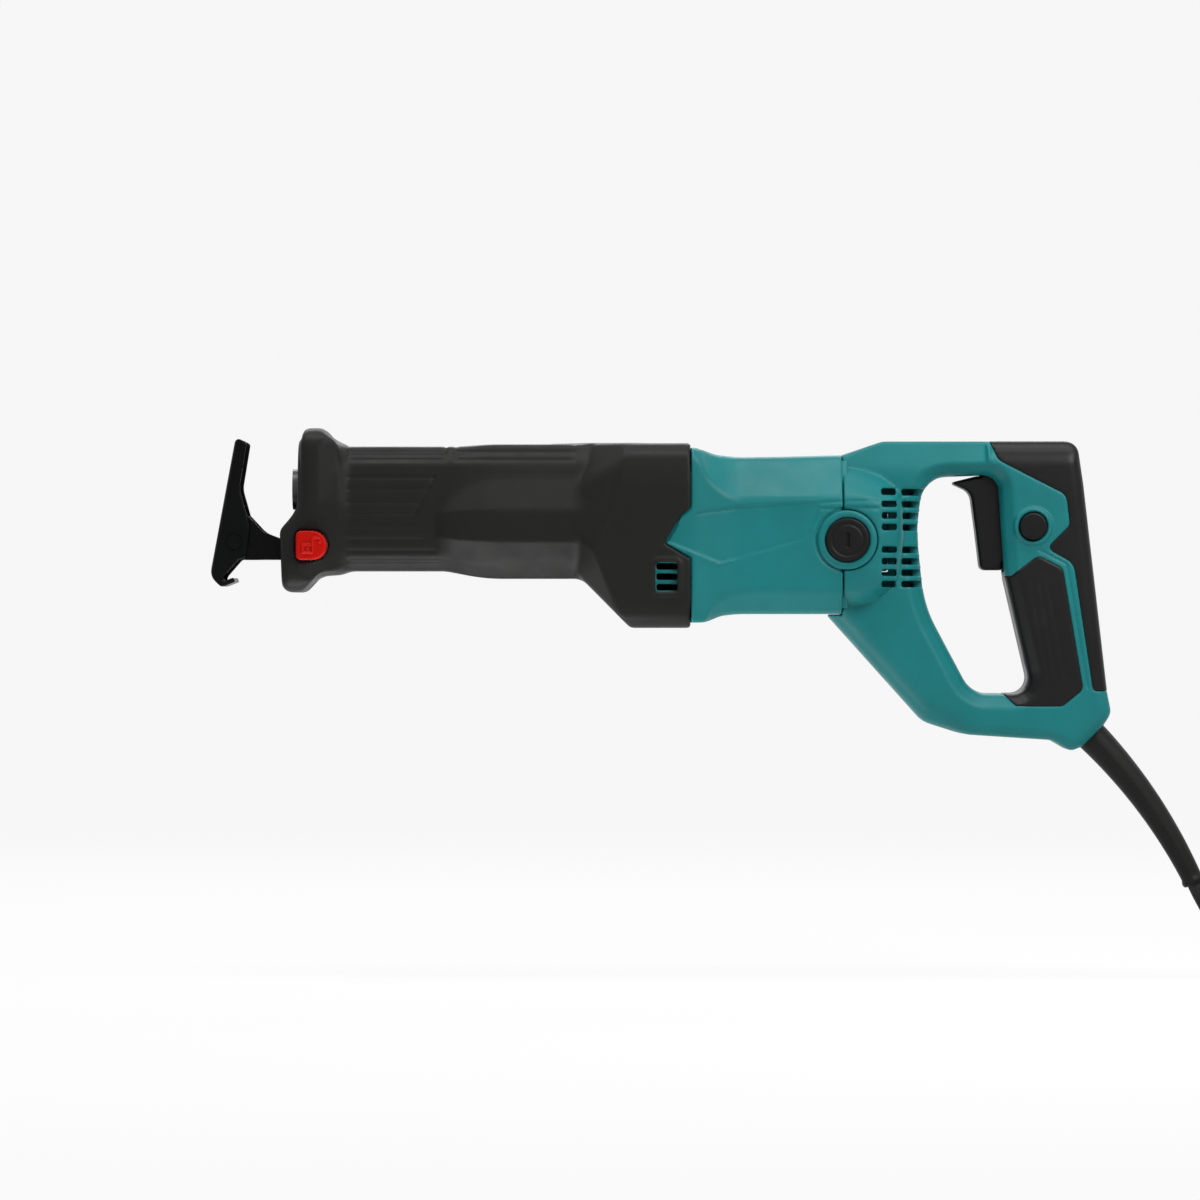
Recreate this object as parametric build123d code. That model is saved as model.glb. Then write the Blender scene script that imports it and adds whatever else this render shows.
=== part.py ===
from build123d import *
import math
import os

# All sizes are in millimetres. +X runs from the nose to the rear handle, +Y to the right-hand
# shell and +Z up. The origin is the middle of the rear grip.

# Main axes
MOTOR_Z = 25.0
SLIDER_Z = 51.0
CRANK_X = -247.0
STROKE = 28.0

# Stations along the length
HOUSING_FRONT_X = -352.0
CAVITY_FRONT_X = -330.0
PLATE_FRONT_X = -213.0
PLATE_REAR_X = -203.0
BOOT_END_X = -176.0
SEAM_X = -100.0

# Walls and fits
BOOT_WALL = 2.5
HOUSING_WALL = 3.5
SHELL_WALL = 2.8
COVER_WALL = 2.2
HANDLE_WALL = 4.8
RUN_FIT = 0.05
SLIDE_FIT = 0.3
SCREW_FIT = 0.05
EDGE_ROUND = 6.0
PAST = 1.0
FAR = 120.0

# Nose and shoe
SHOE_LEAN = 10.5
SHOE_PIVOT_X = -405.1
SHOE_PIVOT_Z = 24.3
SHOE_FACE = 9.5
SHOE_SHEET = 2.5
SHOE_BEND = 4.0
SHOE_HALF = 18.0
SHOE_TOP = 52.2
SHOE_BOTTOM = -19.0
SHOE_HOOK_Z = -23.8
SHOE_SLOT_HALF = 5.5
SHOE_SLOT_LOW = 5.0
SHOE_SLOT_HIGH = 46.0
RIVET_RADIUS = 3.0
RIVET_HEAD = 3.75
RIVET_HEAD_HEIGHT = 1.5
RAIL_SHEET = 3.0
RAIL_BOTTOM = 15.3
RAIL_TOP = 24.6
RAIL_END_X = -300.0
RAIL_NOSE_TOP = 38.0
RAIL_NOSE_GAP = 1.2
MOUTH_HALF = 22.0
MOUTH_HEIGHT = 56.0
MOUTH_Z = 39.0
MOUTH_ROUND = 5.0
CRADLE_FRONT_X = -374.0
CRADLE_TOP = 31.0
CRADLE_GAP = 2.0
CRADLE_FLOOR = 2.4
SLEEVE_ROOM_HALF = 9.0
SLEEVE_ROOM = 1.0
LOCK_X = -365.2
LOCK_Z = 22.3
LOCK_SHAFT_Z = 25.5
LOCK_SHAFT_RADIUS = 3.5
LOCK_CAP_RADIUS = 7.2
LOCK_CAP_FRONT = 8.1
LOCK_CAP_OUT = 39.5
LOCK_TRAVEL = 6.0
NOTCH_PITCH = 7.5
NOTCH_COUNT = 5
FLANGE_HALF = 36.5
FLANGE_Z = 40.0
FLANGE_HEIGHT = 90.0
FLANGE_ROUND = 17.0
FLANGE_DEPTH = 50.0

# Slider and blade clamp
SLIDER_RADIUS = 9.0
ROD_FRONT_X = -354.0
SLEEVE_RADIUS = 10.3
SLEEVE_FRONT_X = -376.5
HOLDER_RADIUS = 7.6
BLADE_SLOT = 1.8
BLADE_SLOT_HALF = 6.0
BLADE_STOP = 5.0
CLAMP_PIN_X = -364.0
CLAMP_PIN_RADIUS = 1.6
CLAMP_PIN_IN = 1.7
CLAMP_SPRING_WIDTH = 0.9
SLEEVE_GAP = 1.0
SLEEVE_GROOVES = 12
SLEEVE_GROOVE_RADIUS = 1.4
SLEEVE_GROOVE_OUT = 0.7
SLEEVE_LIP = 4.0
BUSH_RADIUS = 12.5
BUSH_FRONT_X = -334.5
BUSH_LENGTH = 26.0
BUSH_WALL = 3.0
SEAL_WIDTH = 3.5
RING_WIDTH = 1.5
RING_OUT = 1.2
RING_GAP = 0.8
YOKE_HALF = 22.2
YOKE_HEIGHT = 12.0
ROLLER_RADIUS = 5.0
CRANK_PIN_RADIUS = 3.5
YOKE_SLACK = 3.2
YOKE_BAR = 5.5
GUIDE_SHEET = 2.0
GUIDE_FRONT = 30.0
GUIDE_REAR = 29.0
GUIDE_LEDGE_HALF = 5.0

# Gear pair
PINION_TEETH = 8
GEAR_RATIO = 6.5
TOOTH_MODULE = 1.0
GEAR_FACE = 5.0
GEAR_DISC_RADIUS = 29.6
GEAR_DISC_HEIGHT = 7.5
GEAR_SHAFT_RADIUS = 6.0
GEAR_HUB_WALL = 3.0
GEAR_BEARING_RADIUS = 14.0
GEAR_BEARING_HEIGHT = 7.8
GEAR_WELL_WALL = 3.0
CRANK_SHOULDER = 2.0
COUNTERWEIGHT_BORE = 11.0
COUNTERWEIGHT_HEIGHT = 4.0
COUNTERWEIGHT_EDGE_Y = -4.0

# Motor
SHAFT_RADIUS = 5.0
SHAFT_REAR_RADIUS = 4.0
FRONT_BEARING_RADIUS = 15.0
FRONT_BEARING_WIDTH = 9.0
REAR_BEARING_RADIUS = 11.0
REAR_BEARING_WIDTH = 7.0
REAR_BEARING_X = -81.0
CORE_RADIUS = 18.8
CORE_FRONT_X = -165.0
CORE_REAR_X = -121.0
FIELD_RADIUS = 32.0
FIELD_BORE = 19.5
COMMUTATOR_RADIUS = 12.0
COMMUTATOR_FRONT_X = -108.0
COMMUTATOR_REAR_X = -88.5
FAN_RADIUS = 33.0
FAN_FRONT_X = -197.0
FAN_DEPTH = 12.0
FAN_BLADES = 13
FAN_HUB_RADIUS = 9.0
FAN_DISC = 2.0
FAN_BLADE_HALF = 0.8
FAN_BLADE_INNER = 15.0
ARMATURE_SLOTS = 12
ARMATURE_SLOT_HALF = 0.9
ARMATURE_SLOT_DEPTH = 3.0
WINDING_REACH = 8.0
WINDING_ROUND = 4.0
COMMUTATOR_BARS = 24
COMMUTATOR_GAP = 0.5
COMMUTATOR_GAP_DEPTH = 0.8
COMMUTATOR_RISER = 3.0
RUBBER_RING_WALL = 2.0
FIELD_COIL_OUT = 29.0
FIELD_COIL_IN = 21.5
FIELD_COIL_REACH = 7.0
FIELD_COIL_START = 18.0
FIELD_COIL_SPAN = 144.0
FIELD_SLOT_SPAN = 20.0
BAFFLE_GAP = 9.0
BAFFLE_SHEET = 2.5
BAFFLE_BORE = 24.0
MOTOR_WAIST_X = -155.0
LUG_RADIUS = 7.0
LUG_LENGTH = 6.0
LUG_HALF = 5.0
SEAT_GAP = 4.0
SEAT_WIDTH = 6.0
SHAFT_ROOM = 2.0
SHAFT_REACH = 3.5
END_WALL = 3.5
REAR_TUBE_END_X = -85.5
REAR_TUBE_WALL = 2.4
REAR_TUBE_FLOOR = 2.5
HUB_WALL = 4.5
HUB_LIP = 1.5
REAR_VENT_RADIUS = 4.0
REAR_VENT_OUT = 22.0
SIDE_VENT_FRONT_X = -192.9
SIDE_VENT_REAR_X = -182.6
SIDE_VENT_HALF = 1.4
BRUSH_X = -97.5
BRUSH_BORE = 7.6
BRUSH_BORE_IN = 10.0
BRUSH_BOSS_IN = 22.0
BRUSH_HOLDER_RADIUS = 7.5
BRUSH_HOLDER_IN = 13.5
BRUSH_HOLDER_OUT = 31.0
BRUSH_POCKET_OUT = 29.0
BRUSH_HALF_LENGTH = 4.0
BRUSH_HALF_HEIGHT = 3.15
BRUSH_OUT = 24.0
BRUSH_IN = 8.0
BRUSH_SPRING_RADIUS = 2.8
BRUSH_SPRING_WIRE = 1.0
BRUSH_SPRING_OUT = 32.0
CAP_SEAT = 3.0
CAP_HEIGHT = 1.2
CAP_ROUND = 0.8
CAP_STEM_RADIUS = 7.4
CAP_SLOT_HALF = 0.8
CAP_SLOT_REACH = 4.0
CAP_SLOT_DEPTH = 2.0
BRUSH_BOSS_RADIUS = 14.8
BRUSH_CAP_RADIUS = 10.9
BRUSH_BOSS_OUT = 41.8
REAR_TUBE_RADIUS = 30.0

# Handle
HANDLE_HALF = 19.5
HANDLE_ROUND = 5.0
TRIGGER_HALF = 8.5
TRIGGER_WALL = 2.0
TRIGGER_SIDE_GAP = 0.4
TRIGGER_GAP = 0.7
TRIGGER_PIVOT_X = -24.0
TRIGGER_PIVOT_Z = 63.5
TRIGGER_PIN_RADIUS = 2.0
TRIGGER_PIN_COVER = 3.0
TRIGGER_BOSS_RADIUS = 4.5
BUTTON_X = -3.3
BUTTON_Z = 32.0
BUTTON_RADIUS = 6.9
BUTTON_RING_RADIUS = 9.6
BUTTON_RING_HEIGHT = 1.5
BUTTON_HEIGHT = 3.8
BUTTON_DEPTH = 2.0
BUTTON_ROUND = 1.2
BUTTON_STEM_X = BUTTON_X + 1.5
BUTTON_STEM_RADIUS = 2.2
BUTTON_STEM_IN = 12.0
BUTTON_SPRING_RADIUS = 4.2
BUTTON_SPRING_WIRE = 1.0
BUTTON_SPRING_OUT = 14.0
HANDLE_SCREW_RADIUS = 1.75
HANDLE_SCREW_HEAD = 3.6
HANDLE_SCREW_SINK = 4.5
HANDLE_SCREW_HEIGHT = 2.5
HANDLE_SCREW_SOCKET = 1.6
HANDLE_SCREW_SOCKET_DEPTH = 1.4
HANDLE_BOSS_RADIUS = 4.4
HANDLE_RIB_FRONT_X = -93.0
HANDLE_RIB = 3.0
VENT_HALF = 1.6
VENT_SPANS = [(-80.4, -73.0), (-69.5, -64.0)]
VENT_IN = 10.0

# Inside the handle
SWITCH_FRONT_X = -3.5
SWITCH_REAR_X = 13.5
SWITCH_HALF = 8.5
SWITCH_LOW = 19.0
SWITCH_HIGH = 45.0
SWITCH_SHELF = 2.6
PLUNGER_FRONT_X = -9.6
PLUNGER_HALF = 2.5
PLUNGER_LOW = 31.1
PLUNGER_HIGH = 36.9
PLUNGER_FIT = 0.1
PLUNGER_ROOM_X = 6.0
CLAMP_FRONT_X = 11.6
CLAMP_SHEET = 2.9
CLAMP_HALF = 13.0
CLAMP_Z = -46.0
CLAMP_HALF_HEIGHT = 4.0
CLAMP_SCREW_Y = 9.0
CLAMP_SCREW_RADIUS = 1.4
CLAMP_SCREW_HEAD = 2.8
CLAMP_SCREW_HEIGHT = 2.2
CLAMP_POST_RADIUS = 3.5
CAPACITOR_FRONT_X = -37.5
CAPACITOR_LENGTH = 20.0
CAPACITOR_RADIUS = 5.0
CAPACITOR_Z = -63.0
SADDLE_SHEET = 3.0

# Cord
CORD_DIAMETER = 7.8
LEAD_DIAMETER = 4.0
GUARD_START_X = 27.2
GUARD_START_Z = -73.4
GUARD_START_ANGLE = 45.0
GUARD_END_ANGLE = 65.0
GUARD_LENGTH = 92.0
GUARD_ROOT = 16.3
GUARD_TIP = 10.2
GUARD_LIP = 11.6
GUARD_LIP_LENGTH = 3.0
GUARD_NECK = 5.4
GUARD_COLLAR = 7.4
GUARD_COLLAR_LENGTH = 5.0
GUARD_COLLAR_MIDDLE = -7.4
GUARD_FIT = 0.1
COIL_OUTER = 54.5
COIL_TURNS = 3.75
COIL_PITCH = 8.4
COIL_LAYER = 8.5
COIL_DIP = 1.5
COIL_TAIL = 32.0
TIE_SHEET = 1.4
TIE_HALF = 9.0
TIE_FIT = 0.05
TIE_INNER_GAP = 2.4
TIE_OUTER_GAP = 0.2
PLUG_HALF_WIDTH = 19.0
PLUG_HALF_HEIGHT = 13.8
PLUG_NECK_LENGTH = 16.0
PLUG_NECK_START = 5.6
PLUG_NECK_END = 7.5
PLUG_SHOULDER = 9.0
PLUG_SHOULDER_END = 24.0
PLUG_LENGTH = 44.0
PLUG_ROUND = 8.0
PLUG_GRIP = (27.0, 38.0)
PLUG_GRIP_HALF = 6.0
PLUG_GRIP_DEPTH = 1.6
PLUG_PIN_ROOT = 32.0
PLUG_PIN_ROUND = 1.8
PLUG_PIN_RADIUS = 2.4
PLUG_PIN_LENGTH = 19.0
PLUG_PIN_PITCH = 19.0


# Plain solids placed by their limits
def block(x0, x1, y0, y1, z0, z1):
    middle = Pos((x0 + x1) / 2, (y0 + y1) / 2, (z0 + z1) / 2)
    return middle * Box(x1 - x0, y1 - y0, z1 - z0)


def rod_x(radius, x0, x1, y=0.0, z=0.0):
    return Pos((x0 + x1) / 2, y, z) * Rot(0, 90, 0) * Cylinder(radius, x1 - x0)


def rod_y(radius, y0, y1, x=0.0, z=0.0):
    return Pos(x, (y0 + y1) / 2, z) * Rot(90, 0, 0) * Cylinder(radius, y1 - y0)


def rod_z(radius, z0, z1, x=0.0, y=0.0):
    return Pos(x, y, (z0 + z1) / 2) * Cylinder(radius, z1 - z0)


def tube_x(outer, inner, x0, x1, y=0.0, z=0.0):
    return rod_x(outer, x0, x1, y, z) - rod_x(inner, x0 - PAST, x1 + PAST, y, z)


def tube_y(outer, inner, y0, y1, x=0.0, z=0.0):
    return rod_y(outer, y0, y1, x, z) - rod_y(inner, y0 - PAST, y1 + PAST, x, z)


def tube_z(outer, inner, z0, z1, x=0.0, y=0.0):
    return rod_z(outer, z0, z1, x, y) - rod_z(inner, z0 - PAST, z1 + PAST, x, y)


def side_face(points, radii):
    """A face in the XZ plane, each corner rounded to its own radius."""
    return Plane.XZ * make_face(FilletPolyline(*points, radius=radii, close=True))


def side_prism(points, radii, half_width, middle_y=0.0):
    """A side-view outline made solid evenly about a plane across Y."""
    return Pos(0, middle_y, 0) * extrude(side_face(points, radii), half_width, both=True)


def both_sides(piece):
    return [piece, mirror(piece, Plane.XZ)]


def cross_plane(x, y=0.0, z=0.0):
    """A plane across the length, with its own x along +Y and its own y along +Z."""
    return Plane(origin=(x, y, z), x_dir=(0, 1, 0), z_dir=(1, 0, 0))


def motor_rod(radius, x0, x1):
    return rod_x(radius, x0, x1, 0, MOTOR_Z)


def motor_tube(outer, inner, x0, x1):
    return tube_x(outer, inner, x0, x1, 0, MOTOR_Z)


def slider_rod(radius, x0, x1):
    return rod_x(radius, x0, x1, 0, SLIDER_Z)


def slider_tube(outer, inner, x0, x1):
    return tube_x(outer, inner, x0, x1, 0, SLIDER_Z)


# Cross-sections of the casing, as the points of the right side from top to bottom
NOSE_SIDE = [(20, 72.2), (27.5, 64), (30, 50), (30, 30), (27.5, 17), (20, 9.5)]
WAIST_SIDE = [(20, 72.6), (27.5, 64), (30, 50), (30, 28), (27.5, 15), (20, 8)]
BULGE_SIDE = [(22, 73), (31, 58), (37.5, 39.7), (37.5, 24.6), (31, 11.2), (23, 5.7)]
FLARE_SIDE = [(38, 73.5), (44.5, 68), (47, 58), (47, -6), (44, -14.5), (37, -19)]
MOTOR_FRONT_SIDE = [(36, 71.2), (43, 66), (45.5, 57), (45.5, -4), (42.5, -12), (35, -16.3)]
MOTOR_MIDDLE_SIDE = [(24, 67), (34, 57), (41, 46), (41, -0.5), (35, -9), (26, -12.4)]
MOTOR_REAR_SIDE = [(24, 67.8), (34, 57), (40.5, 45.8), (40.5, -0.8), (35, -9), (26, -12.1)]
CAP_MIDDLE_SIDE = [(22, 63.5), (31, 55), (38.5, 44), (38.5, 2), (32, -6.5), (22, -10)]
CAP_END_SIDE = [(14, 53), (19.5, 48), (23, 40), (23, 12), (19, 4), (13, 0)]

BOOT_STATIONS = [
    (-368.0, NOSE_SIDE),
    (-301.0, WAIST_SIDE),
    (-281.0, BULGE_SIDE),
    (-229.0, BULGE_SIDE),
    (-207.0, FLARE_SIDE),
    (BOOT_END_X, FLARE_SIDE),
]
MOTOR_STATIONS = [
    (BOOT_END_X + SLIDE_FIT, MOTOR_FRONT_SIDE),
    (MOTOR_WAIST_X, MOTOR_MIDDLE_SIDE),
    (SEAM_X, MOTOR_REAR_SIDE),
]
CAP_STATIONS = [
    (SEAM_X, MOTOR_REAR_SIDE),
    (-84.0, CAP_MIDDLE_SIDE),
    (-70.0, CAP_END_SIDE),
]


def inset_ring(right_side, distance):
    """The closed section of a right side, moved inwards by a distance."""
    left_side = [(-y, z) for y, z in reversed(right_side)]
    ring = [Vector(y, z) for y, z in right_side + left_side]
    moved = []
    for i, here in enumerate(ring):
        before = (here - ring[i - 1]).normalized()
        after = (ring[(i + 1) % len(ring)] - here).normalized()
        first = Vector(before.Y, -before.X)
        second = Vector(after.Y, -after.X)
        moved.append(here + (first + second) * (distance / (1 + first.dot(second))))
    return moved


def casing_section(x, right_side, distance):
    radius = max(EDGE_ROUND - distance, 1.0)
    ring = inset_ring(right_side, distance)
    return cross_plane(x) * make_face(FilletPolyline(*ring, radius=radius, close=True))


def casing_loft(stations, distance=0.0):
    return loft([casing_section(x, side, distance) for x, side in stations], ruled=True)


def slab(x0, x1):
    return block(x0, x1, -FAR, FAR, -FAR, FAR)


# Shoe, in its own upright frame about the pivot, then leaned back
SHOE_OUTLINE = [
    (-SHOE_FACE, SHOE_TOP), (-3.1, SHOE_TOP - 2), (-2.6, 27.0), (6.5, 8.5), (7.2, -7.0), (3.5, -8.6),
    (-2.3, -18.4), (-2.0, -20.6), (2.7, -17.7), (4.0, -19.8), (-2.4, SHOE_HOOK_Z),
    (-SHOE_FACE, SHOE_BOTTOM),
]
SHOE_RADII = [3.0, 1.5, 12.0, 6.0, 2.0, 2.0, 3.0, 0.3, 0.4, 0.4, 2.5, 10.0]
SHOE_HOLLOW = [
    (-SHOE_FACE + SHOE_SHEET, 80.0), (40.0, 80.0), (40.0, 5.3), (-2.0, -20.6),
    (-SHOE_FACE + SHOE_SHEET, -17.3),
]
SHOE_HOLLOW_RADII = [1.0, 1.0, 1.0, 0.3, 1.0]
SHOE_DEPTH = 40.0


def shoe_frame(piece):
    return Pos(SHOE_PIVOT_X, 0, SHOE_PIVOT_Z) * Rot(0, SHOE_LEAN, 0) * piece


def shoe_bend(face_x, half_width, radius):
    """A tall prism whose front corners have the radius of the sheet's bend."""
    plan = Pos(SHOE_DEPTH / 2 + face_x, 0, 0) * RectangleRounded(SHOE_DEPTH, 2 * half_width, radius)
    return extrude(plan, FAR, both=True)


def make_shoe():
    inner_half = SHOE_HALF - SHOE_SHEET
    inner_x = -SHOE_FACE + SHOE_SHEET
    shoe = side_prism(SHOE_OUTLINE, SHOE_RADII, SHOE_HALF)
    shoe = shoe & shoe_bend(-SHOE_FACE, SHOE_HALF, SHOE_BEND)
    hollow = side_prism(SHOE_HOLLOW, SHOE_HOLLOW_RADII, inner_half)
    shoe -= hollow & shoe_bend(inner_x, inner_half, SHOE_BEND - SHOE_SHEET)
    shoe -= block(-SHOE_FACE - PAST, inner_x + PAST, -SHOE_SLOT_HALF, SHOE_SLOT_HALF,
                  SHOE_SLOT_LOW, SHOE_SLOT_HIGH)
    return shoe_frame(shoe - rod_y(RIVET_RADIUS + SCREW_FIT, -FAR, FAR))


def make_shoe_pivot_pin():
    pin = rod_y(RIVET_RADIUS, -SHOE_HALF, SHOE_HALF)
    head = rod_y(RIVET_HEAD, SHOE_HALF, SHOE_HALF + RIVET_HEAD_HEIGHT)
    for rivet_head in both_sides(head):
        pin += rivet_head
    return shoe_frame(pin)


def make_shoe_support():
    half = SHOE_HALF - SHOE_SHEET - SLIDE_FIT
    lean = math.tan(math.radians(SHOE_LEAN))
    nose_x = SHOE_PIVOT_X - SHOE_FACE + SHOE_SHEET + RAIL_NOSE_GAP
    front_x = nose_x + (RAIL_NOSE_TOP - SHOE_PIVOT_Z) * lean
    wall = [
        (front_x, RAIL_NOSE_TOP), (-399.0, RAIL_NOSE_TOP), (-390.6, 29.0), (-379.0, RAIL_TOP),
        (RAIL_END_X, RAIL_TOP), (RAIL_END_X, RAIL_BOTTOM), (SHOE_PIVOT_X + 3, RAIL_BOTTOM),
        (nose_x, SHOE_PIVOT_Z - 3),
    ]
    rail = side_prism(wall, [2, 3, 12, 12, 1.5, 1.5, 3, 3], half)
    inner = half - RAIL_SHEET
    rail -= block(SHOE_PIVOT_X - 30, RAIL_END_X + PAST, -inner, inner, RAIL_BOTTOM + RAIL_SHEET, FAR)
    rail -= block(SHOE_PIVOT_X - 30, SHOE_PIVOT_X + 12, -inner, inner, 0, FAR)
    rail -= rod_y(RIVET_RADIUS + RUN_FIT, -FAR, FAR, SHOE_PIVOT_X, SHOE_PIVOT_Z)
    for step in range(NOTCH_COUNT):
        notch_x = LOCK_X + step * NOTCH_PITCH
        rail -= rod_y(LOCK_SHAFT_RADIUS + SLIDE_FIT, -FAR, FAR, notch_x, LOCK_SHAFT_Z)
    return rail


def lock_cap_outline(grow):
    front = LOCK_X - LOCK_CAP_FRONT - grow
    radius = LOCK_CAP_RADIUS + grow
    points = [
        (front, LOCK_Z - radius), (LOCK_X + radius, LOCK_Z - radius),
        (LOCK_X + radius, LOCK_Z + radius), (front, LOCK_Z + radius),
    ]
    return points, [2.5, radius - 0.05, radius - 0.05, 2.5]


def make_shoe_lock_button():
    cap_points, cap_radii = lock_cap_outline(0.0)
    left_in = MOUTH_HALF + LOCK_TRAVEL + SLIDE_FIT
    right_in = MOUTH_HALF + SLIDE_FIT
    right_out = LOCK_CAP_OUT - LOCK_TRAVEL
    left_half = (LOCK_CAP_OUT - left_in) / 2
    right_half = (right_out - right_in) / 2
    button = side_prism(cap_points, cap_radii, left_half, -(LOCK_CAP_OUT + left_in) / 2)
    button += side_prism(cap_points, cap_radii, right_half, (right_out + right_in) / 2)
    shaft = rod_y(LOCK_SHAFT_RADIUS, -left_in, right_in, LOCK_X, LOCK_SHAFT_Z)
    flat_top = RAIL_TOP + SLIDE_FIT
    wall_in = SHOE_HALF - SHOE_SHEET - RAIL_SHEET - 1.0
    flat = block(LOCK_X - FAR, LOCK_X + FAR, wall_in, wall_in + RAIL_SHEET + 1.6, 0, flat_top)
    for cut in both_sides(flat):
        shaft -= cut
    return button + shaft


# Slider, blade clamp and their guides
def make_slider():
    low = SLIDER_Z - YOKE_HEIGHT / 2
    high = SLIDER_Z + YOKE_HEIGHT / 2
    slot_half = ROLLER_RADIUS + YOKE_SLACK
    bar = slot_half + YOKE_BAR
    yoke = block(CRANK_X - bar, CRANK_X + bar, -YOKE_HALF, YOKE_HALF, low, high)
    reach = STROKE / 2 + ROLLER_RADIUS + SLIDE_FIT
    yoke -= block(CRANK_X - slot_half, CRANK_X + slot_half, -reach, reach, low - PAST, high + PAST)
    rod = slider_rod(SLIDER_RADIUS, ROD_FRONT_X, CRANK_X - slot_half - 1)
    above = block(CRANK_X - bar, CRANK_X, -FAR, FAR, high, FAR)
    below = block(CRANK_X - bar, CRANK_X, -FAR, FAR, -FAR, low)
    return yoke + (rod - above - below)


def make_blade_clamp_holder():
    holder = slider_rod(HOLDER_RADIUS, SLEEVE_FRONT_X + 0.5, ROD_FRONT_X)
    holder -= block(SLEEVE_FRONT_X - PAST, ROD_FRONT_X - BLADE_STOP, -BLADE_SLOT / 2, BLADE_SLOT / 2,
                    SLIDER_Z - BLADE_SLOT_HALF, SLIDER_Z + BLADE_SLOT_HALF)
    return holder - rod_y(CLAMP_PIN_RADIUS + SCREW_FIT, CLAMP_PIN_IN - 0.2, FAR, CLAMP_PIN_X, SLIDER_Z)


def make_blade_clamp_sleeve():
    sleeve = slider_tube(SLEEVE_RADIUS, HOLDER_RADIUS + RUN_FIT, SLEEVE_FRONT_X, ROD_FRONT_X - SLEEVE_GAP)
    turn = 2 * math.pi / SLEEVE_GROOVES
    groove_out = SLEEVE_RADIUS + SLEEVE_GROOVE_OUT
    for step in range(SLEEVE_GROOVES):
        angle = (step + 0.5) * turn
        sleeve -= rod_x(SLEEVE_GROOVE_RADIUS, SLEEVE_FRONT_X + SLEEVE_LIP, ROD_FRONT_X,
                        groove_out * math.cos(angle), SLIDER_Z + groove_out * math.sin(angle))
    return sleeve


def make_blade_clamp_pin():
    return rod_y(CLAMP_PIN_RADIUS, CLAMP_PIN_IN, HOLDER_RADIUS - 0.4, CLAMP_PIN_X, SLIDER_Z)


def make_blade_clamp_spring():
    front = ROD_FRONT_X - CLAMP_SPRING_WIDTH
    return slider_tube(SLEEVE_RADIUS - SLIDE_FIT, HOLDER_RADIUS + RUN_FIT, front, ROD_FRONT_X)


def make_dust_seal():
    return slider_tube(BUSH_RADIUS, SLIDER_RADIUS + RUN_FIT, BUSH_FRONT_X - SEAL_WIDTH, BUSH_FRONT_X)


def make_slider_bush():
    return slider_tube(BUSH_RADIUS, SLIDER_RADIUS + RUN_FIT, BUSH_FRONT_X, BUSH_FRONT_X + BUSH_LENGTH)


def make_retaining_ring():
    rear = BUSH_FRONT_X + BUSH_LENGTH
    return slider_tube(BUSH_RADIUS + RING_OUT, SLIDER_RADIUS + RING_GAP, rear, rear + RING_WIDTH)


def make_guide_plates():
    inner = YOKE_HALF + RUN_FIT
    plate = block(CRANK_X - GUIDE_FRONT, CRANK_X + GUIDE_REAR, inner, inner + GUIDE_SHEET,
                  SLIDER_Z - YOKE_HEIGHT / 2, SLIDER_Z + YOKE_HEIGHT / 2)
    return Compound(both_sides(plate))


# Crank gear, counterweight and bearings
PINION_PITCH = PINION_TEETH * TOOTH_MODULE / 2
GEAR_PITCH = PINION_PITCH * GEAR_RATIO
GEAR_TEETH = round(PINION_TEETH * GEAR_RATIO)
TOOTH_PLANE = MOTOR_Z + PINION_PITCH
TOOTH_TOP = TOOTH_PLANE + 1.2 * TOOTH_MODULE
TOOTH_TIP = TOOTH_PLANE - 0.8 * TOOTH_MODULE
DISC_TOP = TOOTH_TOP + GEAR_DISC_HEIGHT
GEAR_HUB_LOW = TOOTH_TIP - 0.4
GEAR_BEARING_HIGH_Z = GEAR_HUB_LOW - 0.2 - GEAR_BEARING_HEIGHT
GEAR_BEARING_LOW_Z = GEAR_BEARING_HIGH_Z - GEAR_BEARING_HEIGHT
GEAR_SHAFT_LOW = GEAR_BEARING_LOW_Z + SLIDE_FIT


def make_crank_gear():
    gear = rod_z(GEAR_DISC_RADIUS, TOOTH_TOP, DISC_TOP, CRANK_X)
    gear += rod_z(GEAR_SHAFT_RADIUS + GEAR_HUB_WALL, GEAR_HUB_LOW, DISC_TOP, CRANK_X)
    gear += rod_z(GEAR_SHAFT_RADIUS, GEAR_SHAFT_LOW, DISC_TOP, CRANK_X)
    inner = GEAR_PITCH - GEAR_FACE / 2
    outer = GEAR_PITCH + GEAR_FACE / 2
    tip = 0.3 * TOOTH_MODULE
    root = 0.62 * TOOTH_MODULE
    tooth_face = Plane.YZ * make_face(Polyline(
        (-root, TOOTH_TOP + 0.3), (root, TOOTH_TOP + 0.3), (tip, TOOTH_TIP), (-tip, TOOTH_TIP), close=True))
    tooth = Pos(inner, 0, 0) * extrude(tooth_face, outer - inner)
    teeth = [
        Pos(CRANK_X, 0, 0) * Rot(0, 0, 360 * step / GEAR_TEETH) * tooth
        for step in range(GEAR_TEETH)
    ]
    gear = gear + teeth
    pin_top = SLIDER_Z + YOKE_HEIGHT / 2 + 1.5
    shoulder_top = SLIDER_Z - YOKE_HEIGHT / 2 - 0.6
    gear += rod_z(CRANK_PIN_RADIUS + CRANK_SHOULDER, DISC_TOP, shoulder_top, CRANK_X, STROKE / 2)
    return gear + rod_z(CRANK_PIN_RADIUS, DISC_TOP, pin_top, CRANK_X, STROKE / 2)


def make_crank_roller():
    low = SLIDER_Z - YOKE_HEIGHT / 2 - 0.5
    high = SLIDER_Z + YOKE_HEIGHT / 2 + 0.5
    return tube_z(ROLLER_RADIUS, CRANK_PIN_RADIUS + RUN_FIT, low, high, CRANK_X, STROKE / 2)


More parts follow.
